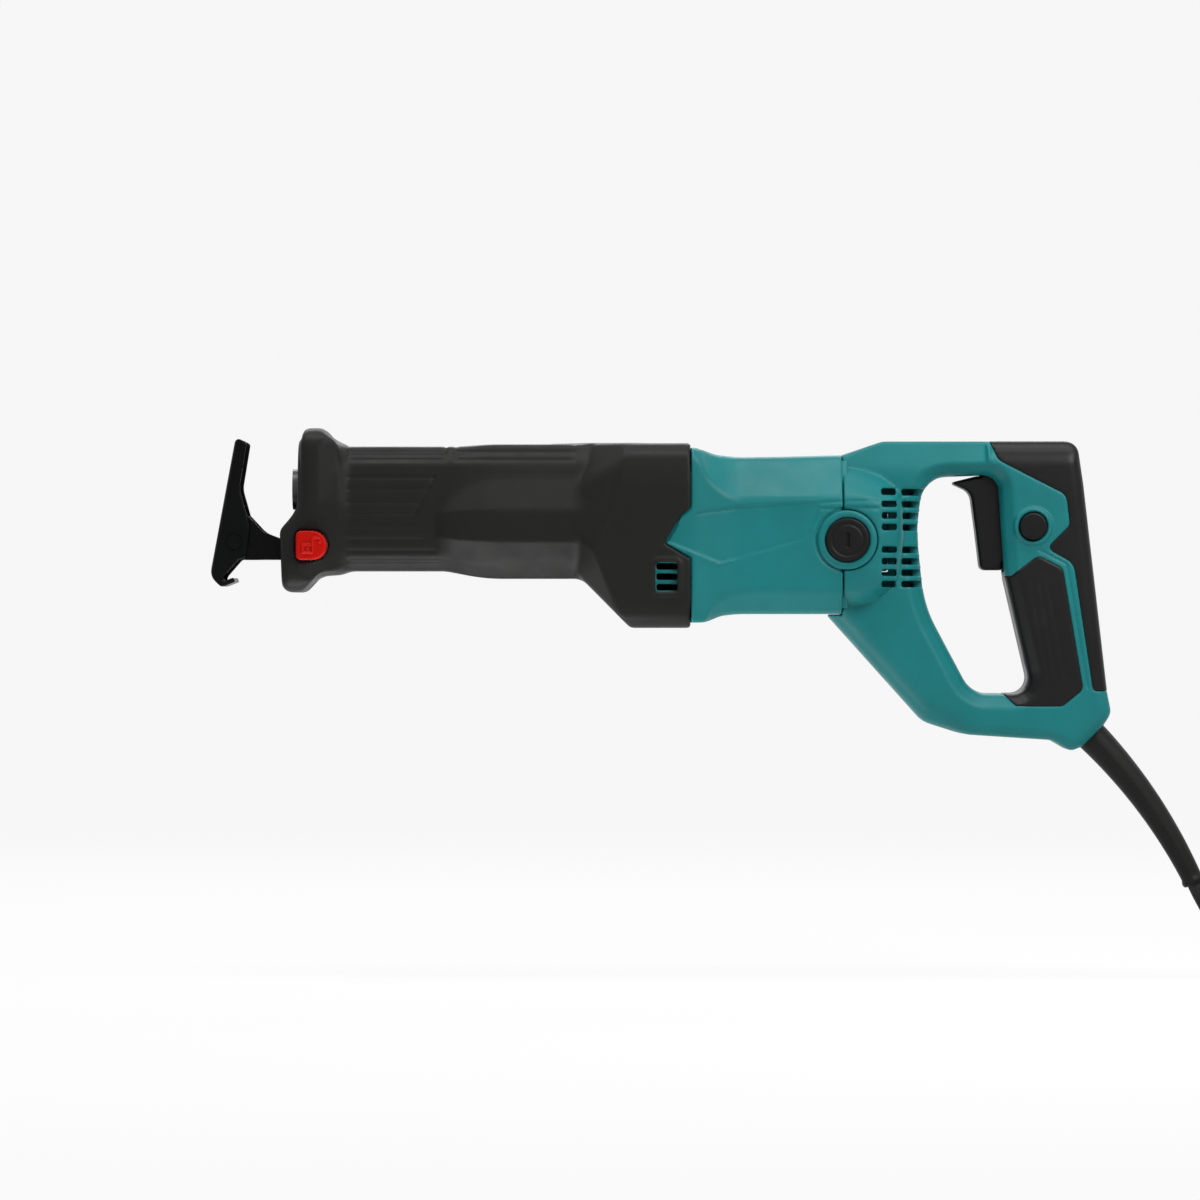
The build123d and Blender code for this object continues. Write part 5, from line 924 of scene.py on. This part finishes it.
def trigger_form(x, y, z):
    out = np.abs(y)
    form = rounded_outline(TRIGGER_OUTLINE, TRIGGER_RADII, x, z)
    form = meet(form, out - TRIGGER_HALF, TRIGGER_EDGE)
    hollow = both(rectangle(x, z, *TRIGGER_HOLLOW), out - TRIGGER_HALF + TRIGGER_WALL)
    form = without(form, hollow)
    return both(form, TRIGGER_BORE - np.hypot(x - TRIGGER_PIVOT[0], z - TRIGGER_PIVOT[1]))


# Shoe: a folded steel channel about its rivet, which is then leaned back
SHOE_PIVOT = (-405.1, 24.3)
SHOE_LEAN = math.radians(10.5)
SHOE_OUTLINE = [
    (-9.5, 52.2), (-3.1, 50.2), (-2.6, 27), (6.5, 8.5), (7.2, -7), (3.5, -8.6), (-2.3, -18.4),
    (-2, -20.6), (2.7, -17.7), (4, -19.8), (-2.4, -23.8), (-9.5, -19),
]
SHOE_RADII = [3.0, 1.5, 12.0, 6.0, 2.0, 2.0, 3.0, 0.3, 0.4, 0.4, 2.5, 10.0]
SHOE_PLAN, SHOE_PLAN_CORNER = ((-9.5, -18.0), (30.5, 18.0)), 4.0
SHOE_HOLLOW = [(-7.0, 80.0), (40.0, 80.0), (40.0, 5.3), (-2.0, -20.6), (-7.0, -17.3)]
SHOE_HOLLOW_PLAN, SHOE_HOLLOW_CORNER = ((-7.0, -15.5), (33.0, 15.5)), 1.5
SHOE_SLOT, SHOE_SLOT_CORNER, SHOE_SLOT_END_X = ((-5.5, 5.0), (5.5, 46.0)), 2.0, -3.0
SHOE_BORE = 3.05


def shoe_form(x, y, z):
    form = rounded_outline(SHOE_OUTLINE, SHOE_RADII, x, z)
    form = meet(form, rectangle(x, y, *SHOE_PLAN, SHOE_PLAN_CORNER), CUT_EDGE)
    hollow = rectangle(x, y, *SHOE_HOLLOW_PLAN, SHOE_HOLLOW_CORNER)
    form = cut(form, both(outline(SHOE_HOLLOW, x, z), hollow), FINE_EDGE)
    slot = rectangle(y, z, *SHOE_SLOT, SHOE_SLOT_CORNER)
    form = cut(form, both(slot, x - SHOE_SLOT_END_X), FINE_EDGE)
    return both(form, SHOE_BORE - np.hypot(x, z))


def shoe_points():
    vertices, faces = form_points(shoe_form, (-10, -19, -25), (8, 19, 53), STEP_SMALL)
    across, up = vertices[:, 0], vertices[:, 2]
    cosine, sine = math.cos(SHOE_LEAN), math.sin(SHOE_LEAN)
    turned = vertices.copy()
    turned[:, 0] = SHOE_PIVOT[0] + across * cosine + up * sine
    turned[:, 2] = SHOE_PIVOT[1] - across * sine + up * cosine
    return turned, faces


# Red shoe lock with an open padlock on each end
LOCK_ENDS = ((-39.5, -28.6), (22.6, 33.5))
LOCK_EDGE = 0.9
LOCK_SHAFT_Z, LOCK_SHAFT_RADIUS, LOCK_SHAFT_Y = 25.5, 3.3, (-33.0, 27.0)
PADLOCK_X, PADLOCK_Z, PADLOCK_HALF, PADLOCK_CORNER = -2.4, -1.6, (2.5, 2.0), 0.3
PADLOCK_FRAME = 0.4
PADLOCK_LINE, PADLOCK_HOLE, PADLOCK_HEIGHT = 0.42, 0.6, 0.45
SHACKLE_X, SHACKLE_Z, SHACKLE_RADIUS, SHACKLE_LOW_Z = 1.9, 2.0, 2.0, 1.4
LEG_X, LEG_Z, LEG_HALF = -0.1, 1.1, 1.2
PADLOCK_FROM = 25.0


def padlock(across, up):
    """The lines of an open padlock about the middle of the button."""
    body = bar(across - PADLOCK_X, up - PADLOCK_Z, *PADLOCK_HALF, PADLOCK_CORNER)
    hole = np.hypot(across - PADLOCK_X, up - PADLOCK_Z) - PADLOCK_HOLE
    shackle = np.hypot(across - SHACKLE_X, up - SHACKLE_Z) - SHACKLE_RADIUS
    shackle = both(np.abs(shackle) - PADLOCK_LINE, SHACKLE_LOW_Z - up)
    leg = bar(across - LEG_X, up - LEG_Z, PADLOCK_LINE, LEG_HALF)
    mark = either(both(np.abs(body) - PADLOCK_FRAME, -hole), either(shackle, leg))
    return either(mark, hole)


def lock_form(x, y, z):
    cap = outline(lock_outline(0.0), x, z)
    form = np.hypot(x - LOCK_X, z - LOCK_SHAFT_Z) - LOCK_SHAFT_RADIUS
    form = both(form, between(y, *LOCK_SHAFT_Y))
    for start, end in LOCK_ENDS:
        form = either(form, meet(cap, between(y, start, end), LOCK_EDGE))
    mark = both(padlock(x - LOCK_X, z - LOCK_Z), PADLOCK_FROM - np.abs(y))
    return swell(form, mark, PADLOCK_HEIGHT)


# Cord guard: a tapered sleeve along an arc, with a mould line and a lip
GUARD_LENGTH = 92.0
GUARD_ROOT, GUARD_TIP = 16.3, 10.2
GUARD_LIP_HEIGHT, GUARD_LIP_AT, GUARD_LIP_SHARP = 0.73, 0.967, 400.0
GUARD_END_AT, GUARD_END_ROUND = 0.99, 0.5
MOULD_LINES, MOULD_HEIGHT, MOULD_WIDTH = (math.pi / 2, 3 * math.pi / 2), 0.28, 0.07
GUARD_RINGS, GUARD_SIDES = 92, 48


def guard_point(part):
    first, last = GUARD_ANGLES
    radius = GUARD_LENGTH / (last - first)
    angle = first + part * (last - first)
    x = GUARD_START[0] + radius * (math.sin(angle) - math.sin(first))
    z = GUARD_START[1] - radius * (math.cos(first) - math.cos(angle))
    return x, z, angle


def guard_radius(part, turn):
    radius = (GUARD_ROOT + part * (GUARD_TIP - GUARD_ROOT)) / 2
    radius += GUARD_LIP_HEIGHT / (1 + math.exp(-(part - GUARD_LIP_AT) * GUARD_LIP_SHARP))
    tip = max(0.0, (part - GUARD_END_AT) / (1 - GUARD_END_AT))
    radius -= GUARD_END_ROUND * (1 - math.sqrt(max(0.0, 1 - tip * tip)))
    for mould in MOULD_LINES:
        radius += MOULD_HEIGHT * math.exp(-((turn - mould) / MOULD_WIDTH) ** 2)
    return radius


def guard_points():
    vertices = []
    for ring in range(GUARD_RINGS + 1):
        part = ring / GUARD_RINGS
        x, z, angle = guard_point(part)
        for side in range(GUARD_SIDES):
            turn = 2 * math.pi * side / GUARD_SIDES
            radius = guard_radius(part, turn)
            lift = radius * math.cos(turn)
            vertices.append((
                x + lift * math.sin(angle), radius * math.sin(turn),
                z + lift * math.cos(angle)))
    faces = tube_faces(GUARD_RINGS + 1, GUARD_SIDES)
    faces.append(tuple(reversed(range(GUARD_SIDES))))
    faces.append(tuple(range(GUARD_RINGS * GUARD_SIDES, (GUARD_RINGS + 1) * GUARD_SIDES)))
    return vertices, faces


# Materials
MIX_FACTOR, MIX_FIRST, MIX_SECOND, MIX_RESULT = 0, 6, 7, 2
NOISE_LOW, NOISE_HIGH = 0.3, 0.7
# Pointiness range and strongest mix for sharp edges painted lighter: partly wear, partly painted
# highlight.
WEAR_AND_HIGHLIGHT_LOW, WEAR_AND_HIGHLIGHT_HIGH, WEAR_AND_HIGHLIGHT_MOST = 0.53, 0.62, 0.55


def new_material(name, colour, roughness, metallic, gloss_level):
    material = bpy.data.materials.new(name)
    material.use_nodes = True
    shader = material.node_tree.nodes["Principled BSDF"]
    shader.inputs["Base Color"].default_value = (*colour, 1)
    shader.inputs["Roughness"].default_value = roughness
    shader.inputs["Metallic"].default_value = metallic
    shader.inputs["Specular IOR Level"].default_value = gloss_level
    return material, material.node_tree, shader


def noise(tree, scale, detail):
    place = tree.nodes.new("ShaderNodeTexCoord")
    texture = tree.nodes.new("ShaderNodeTexNoise")
    texture.inputs["Scale"].default_value = scale
    texture.inputs["Detail"].default_value = detail
    tree.links.new(place.outputs["Object"], texture.inputs["Vector"])
    return texture.outputs["Fac"]


def spread(tree, factor, low, high, to_low, to_high):
    """Stretches a value from one range to another."""
    node = tree.nodes.new("ShaderNodeMapRange")
    for number, value in enumerate((low, high, to_low, to_high), 1):
        node.inputs[number].default_value = value
    tree.links.new(factor, node.inputs[0])
    return node.outputs[0]


def uneven(tree, scale, detail, low, high):
    """A value that wanders between two levels over the surface."""
    return spread(tree, noise(tree, scale, detail), NOISE_LOW, NOISE_HIGH, low, high)


def blend_colours(tree, factor, first, second):
    """A mix of two colours, each given by its numbers or by another node's output."""
    mix = tree.nodes.new("ShaderNodeMix")
    mix.data_type = "RGBA"
    tree.links.new(factor, mix.inputs[MIX_FACTOR])
    for colour, number in ((first, MIX_FIRST), (second, MIX_SECOND)):
        if isinstance(colour, bpy.types.NodeSocket):
            tree.links.new(colour, mix.inputs[number])
        else:
            mix.inputs[number].default_value = (*colour, 1)
    return mix.outputs[MIX_RESULT]


def bump(tree, shader, height, strength, distance):
    node = tree.nodes.new("ShaderNodeBump")
    node.inputs["Strength"].default_value = strength
    node.inputs["Distance"].default_value = distance
    tree.links.new(height, node.inputs["Height"])
    tree.links.new(node.outputs["Normal"], shader.inputs["Normal"])


def moulded(
        name, colour, edge_wear_and_highlight, roughness, grain, depth, gloss_level, wear_and_highlight_range=(WEAR_AND_HIGHLIGHT_LOW, WEAR_AND_HIGHLIGHT_HIGH)):
    """Moulded plastic or rubber: fine grain, uneven gloss, and edges painted lighter, partly as
    wear and partly as a painted highlight.
    """
    material, tree, shader = new_material(name, colour, roughness, 0.0, gloss_level)
    darker = [value * 0.9 for value in colour]
    lighter = [value * 1.08 for value in colour]
    patch = uneven(tree, scale=28, detail=4, low=0, high=1)
    base = blend_colours(tree, patch, darker, lighter)
    shape = tree.nodes.new("ShaderNodeNewGeometry")
    # Sharp edges are painted toward the lighter edge colour: partly wear, partly painted highlight.
    edge = spread(tree, shape.outputs["Pointiness"], *wear_and_highlight_range, 0.0, WEAR_AND_HIGHLIGHT_MOST)
    tree.links.new(blend_colours(tree, edge, base, edge_wear_and_highlight), shader.inputs["Base Color"])
    gloss = uneven(tree, scale=90, detail=5, low=roughness - 0.06, high=roughness + 0.06)
    tree.links.new(gloss, shader.inputs["Roughness"])
    bump(tree, shader, noise(tree, scale=grain, detail=2), strength=0.5, distance=depth)
    return material


def metal(name, colour, roughness, grain=400.0, depth=0.00004, metallic=1.0, gloss_level=0.5):
    """Metal with patches of a little more and less shine."""
    material, tree, shader = new_material(name, colour, roughness, metallic, gloss_level)
    darker = [value * 0.8 for value in colour]
    lighter = [min(1, value * 1.12) for value in colour]
    patch = uneven(tree, scale=60, detail=6, low=0, high=1)
    shade = blend_colours(tree, patch, darker, lighter)
    tree.links.new(shade, shader.inputs["Base Color"])
    smoothest = max(0.05, roughness - 0.08)
    gloss = uneven(tree, scale=250, detail=4, low=smoothest, high=roughness + 0.08)
    tree.links.new(gloss, shader.inputs["Roughness"])
    bump(tree, shader, noise(tree, scale=grain, detail=3), strength=0.35, distance=depth)
    return material


# Colour, colour of the edges painted lighter (partly wear, partly painted highlight), roughness,
# grain per metre, depth of the grain and gloss level
MOULDED = {
    "teal_plastic": ((0.007, 0.165, 0.172), (0.04, 0.27, 0.28), 0.42, 2600, 0.00010, 0.2),
    "black_rubber": ((0.0095, 0.0095, 0.009), (0.04, 0.04, 0.038), 0.45, 2200, 0.00012, 0.14),
    "black_grip": ((0.0075, 0.0075, 0.0075), (0.035, 0.035, 0.035), 0.34, 2400, 0.00010, 0.15),
    "black_plastic": ((0.006, 0.006, 0.006), (0.04, 0.04, 0.04), 0.38, 2600, 0.00008, 0.13),
    "red_plastic": ((0.5, 0.005, 0.002), (0.55, 0.03, 0.02), 0.34, 2600, 0.00005, 0.12),
    "cord_rubber": ((0.018, 0.018, 0.017), (0.04, 0.04, 0.04), 0.5, 1800, 0.00012, 0.1),
    "felt": ((0.30, 0.28, 0.24), (0.38, 0.36, 0.31), 0.9, 1500, 0.0004, 0.1),
    "carbon": ((0.03, 0.03, 0.03), (0.08, 0.08, 0.08), 0.5, 1800, 0.0001, 0.5),
}
# Colour and roughness
METALS = {
    "bright_steel": ((0.56, 0.56, 0.57), 0.3),
    "dark_steel": ((0.06, 0.06, 0.062), 0.38),
    "laminated_iron": ((0.28, 0.28, 0.29), 0.45),
    "copper_wire": ((0.66, 0.29, 0.13), 0.35),
    "bronze": ((0.55, 0.40, 0.18), 0.4),
}
STEEL_COAT = (0.003, 0.0034, 0.0032)
MATERIALS = {
    # The shoe's black coat, with its sharp edges painted light grey: partly wear, partly painted
    # highlight.
    "black_steel": moulded(
        "black_steel", STEEL_COAT, (0.12, 0.12, 0.12), 0.3, 900, 0.00004, 0.06, (0.56, 0.68)),
    "coated_steel": metal("coated_steel", STEEL_COAT, 0.3, metallic=0.0, gloss_level=0.06),
    "cast_aluminium": metal("cast_aluminium", (0.58, 0.58, 0.59), 0.45, grain=900, depth=0.00012),
}
MATERIALS.update({name: moulded(name, *values) for name, values in MOULDED.items()})
MATERIALS.update({name: metal(name, *values) for name, values in METALS.items()})


def set_material(piece, slot):
    piece.data.materials.clear()
    piece.data.materials.append(MATERIALS[slot])


# All pieces, each sampled between a low and a high corner, and the materials
mesh_piece(
    "boot_cover", form_points(boot_form, (-383, -48, -21), (-175, 48, 83), STEP_CASING),
    "body", "black_rubber", "boot")
mesh_piece(
    "motor_shell", form_points(motor_form, (-203, -48, -20), (-75, 48, 73), STEP_HANDLE),
    "body", "teal_plastic", "motor_housing")
mesh_piece(
    "brush_cap_pair", form_points(cap_form, (-109.5, -44, 13), (-85.5, 44, 37), STEP_FINE),
    "body", "black_plastic", "brush_caps")
mesh_piece(
    "handle_shell_left", form_points(left_form, (-113, -43, -82), (37, 0, 76), STEP_HANDLE, False),
    "body", "teal_plastic", "handle_left")
mesh_piece(
    "handle_shell_right", form_points(right_form, (-113, 0, -82), (37, 43, 76), STEP_HANDLE, False),
    "body", "teal_plastic", "handle_right")
mesh_piece(
    "grip_rear", form_points(rear_cover_form, (-26, -20, -52), (37, 20, 76), STEP_HANDLE, False),
    "body", "black_grip", "grip_cover_rear")
mesh_piece(
    "grip_front", form_points(front_cover_form, (-20, -20, -60), (23, 20, 18), STEP_HANDLE, False),
    "body", "black_grip", "grip_cover_front")
mesh_piece(
    "trigger_lever", form_points(trigger_form, (-45, -9, 9), (-9, 9, 69), STEP_SMALL),
    "trigger", "black_plastic", "trigger")
mesh_piece("shoe_channel", shoe_points(), "shoe", "black_steel", "shoe")
mesh_piece(
    "shoe_lock_cap", form_points(lock_form, (-374, -41, 14), (-357, 35, 31), STEP_FINE, False),
    "shoe_lock", "red_plastic", "shoe_lock_button")
mesh_piece("cord_guard_sleeve", guard_points(), "body", "black_rubber", "cord_guard")

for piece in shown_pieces():
    slot = piece.get("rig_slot")
    if slot:
        set_material(piece, slot)

NODE_SLOTS = {
    "bright_steel": [
        "slider", "blade_clamp_pin", "blade_clamp_spring", "retaining_ring", "guide_plates",
        "crank_roller", "gear_bearing_upper", "gear_bearing_lower", "housing_screws",
        "front_bearing", "rear_bearing", "brush_springs", "handle_screws", "trigger_pin",
        "lock_spring", "cord_clamp_screws", "armature_shaft",
    ],
    "dark_steel": ["blade_clamp_holder", "blade_clamp_sleeve", "crank_gear", "counterweight"],
    "coated_steel": ["shoe_support", "shoe_pivot_pin"],
    "felt": ["dust_seal"],
    "bronze": ["slider_bush", "brush_holders", "plug_pins"],
    "cast_aluminium": ["gear_housing", "bearing_plate"],
    "laminated_iron": ["armature_core", "field_core"],
    "copper_wire": ["armature_winding", "commutator", "field_coils"],
    "carbon": ["carbon_brushes"],
    "black_rubber": ["bearing_rubber_ring", "cord_tie"],
    "cord_rubber": ["inner_lead"],
    "black_plastic": [
        "fan", "baffle", "switch_body", "switch_plunger", "lock_button", "cord_clamp", "capacitor",
        "plug_body",
    ],
}
for slot, names in NODE_SLOTS.items():
    for name in names:
        set_material(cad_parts[name], slot)


# Pale floor that sweeps up all round, soft light and a white surround, in metres and watts
FLOOR_WHITE = 0.92
SURROUND_LIGHT = 0.05
STAGE_RADIUS = 5.0
STAGE_BEND = 1.5
STAGE_MIDDLE = 0.01
STAGE_RINGS, STAGE_SIDES = 16, 96
TOOL_MIDDLE = (-0.2, 0.0, 0.02)
# Name, place, aim, size and power
LAMPS = [
    ("key", (0.3, -0.55, 0.42), (-0.05, 0.0, 0.03), (0.4, 0.3), 4.0),
    ("top", (-0.25, -0.3, 1.2), TOOL_MIDDLE, (1.8, 0.25), 14.0),
    ("rear", (-0.2, 1.1, 0.9), TOOL_MIDDLE, (1.2, 0.5), 8.0),
    ("table", (-0.33, -0.08, -0.19), (-0.33, -0.08, 0.2), (0.24, 0.1), 0.5),
]


def seen_directly(tree):
    """One for a ray from the camera or off a glossy or clear surface, and zero for any other."""
    path = tree.nodes.new("ShaderNodeLightPath")
    seen = path.outputs["Is Camera Ray"]
    for ray in ("Is Glossy Ray", "Is Transmission Ray"):
        most = tree.nodes.new("ShaderNodeMath")
        most.operation = "MAXIMUM"
        tree.links.new(seen, most.inputs[0])
        tree.links.new(path.outputs[ray], most.inputs[1])
        seen = most.outputs[0]
    return seen


def stage_profile():
    """Radius and height of each ring, from the middle of the floor to the top of the wall."""
    flat = STAGE_RADIUS - STAGE_BEND
    profile = [(STAGE_MIDDLE, 0.0), (flat, 0.0)]
    for step in range(1, STAGE_RINGS + 1):
        angle = math.pi / 2 * step / STAGE_RINGS
        profile.append((flat + STAGE_BEND * math.sin(angle), STAGE_BEND * (1 - math.cos(angle))))
    return profile


def stage_material():
    """A pale floor that shows nearly white where it is seen directly."""
    material, tree, shader = new_material("sweep", (0.9, 0.9, 0.9), 0.9, 0.0, 0.1)
    white = tree.nodes.new("ShaderNodeEmission")
    mix = tree.nodes.new("ShaderNodeMixShader")
    tree.links.new(spread(tree, seen_directly(tree), 0.0, 1.0, 0.0, FLOOR_WHITE), mix.inputs[0])
    tree.links.new(shader.outputs[0], mix.inputs[1])
    tree.links.new(white.outputs[0], mix.inputs[2])
    tree.links.new(mix.outputs[0], tree.nodes["Material Output"].inputs["Surface"])
    return material


def make_stage():
    floor_z = cad_box[0][2]
    profile = stage_profile()
    vertices = []
    for radius, height in profile:
        for side in range(STAGE_SIDES):
            turn = 2 * math.pi * side / STAGE_SIDES
            vertices.append((radius * math.cos(turn), radius * math.sin(turn), floor_z + height))
    faces = tube_faces(len(profile), STAGE_SIDES)
    faces.append(tuple(reversed(range(STAGE_SIDES))))
    mesh = bpy.data.meshes.new("sweep")
    mesh.from_pydata(vertices, [], faces)
    mesh.polygons.foreach_set("use_smooth", [True] * len(faces))
    mesh.materials.append(stage_material())
    sweep = bpy.data.objects.new("sweep", mesh)
    bpy.context.scene.collection.objects.link(sweep)


def make_lamp(name, place, aim, size, power):
    lamp = bpy.data.lights.new(name, "AREA")
    lamp.shape = "RECTANGLE"
    lamp.size, lamp.size_y = size
    lamp.energy = power
    holder = bpy.data.objects.new(name, lamp)
    holder.location = place
    x, y, z = [a - p for a, p in zip(aim, place)]
    holder.rotation_euler = (math.atan2(math.hypot(x, y), -z), 0, math.atan2(-x, y))
    holder.visible_camera = False
    bpy.context.scene.collection.objects.link(holder)


def make_surround():
    world = bpy.data.worlds.new("surround")
    bpy.context.scene.world = world
    world.use_nodes = True
    tree = world.node_tree
    back = tree.nodes["Background"]
    strength = spread(tree, seen_directly(tree), 0.0, 1.0, SURROUND_LIGHT, 1.0)
    tree.links.new(strength, back.inputs["Strength"])
    back.inputs["Color"].default_value = (1, 1, 1, 1)
    bpy.context.scene.view_settings.view_transform = "Standard"


make_stage()
for lamp_values in LAMPS:
    make_lamp(*lamp_values)
make_surround()
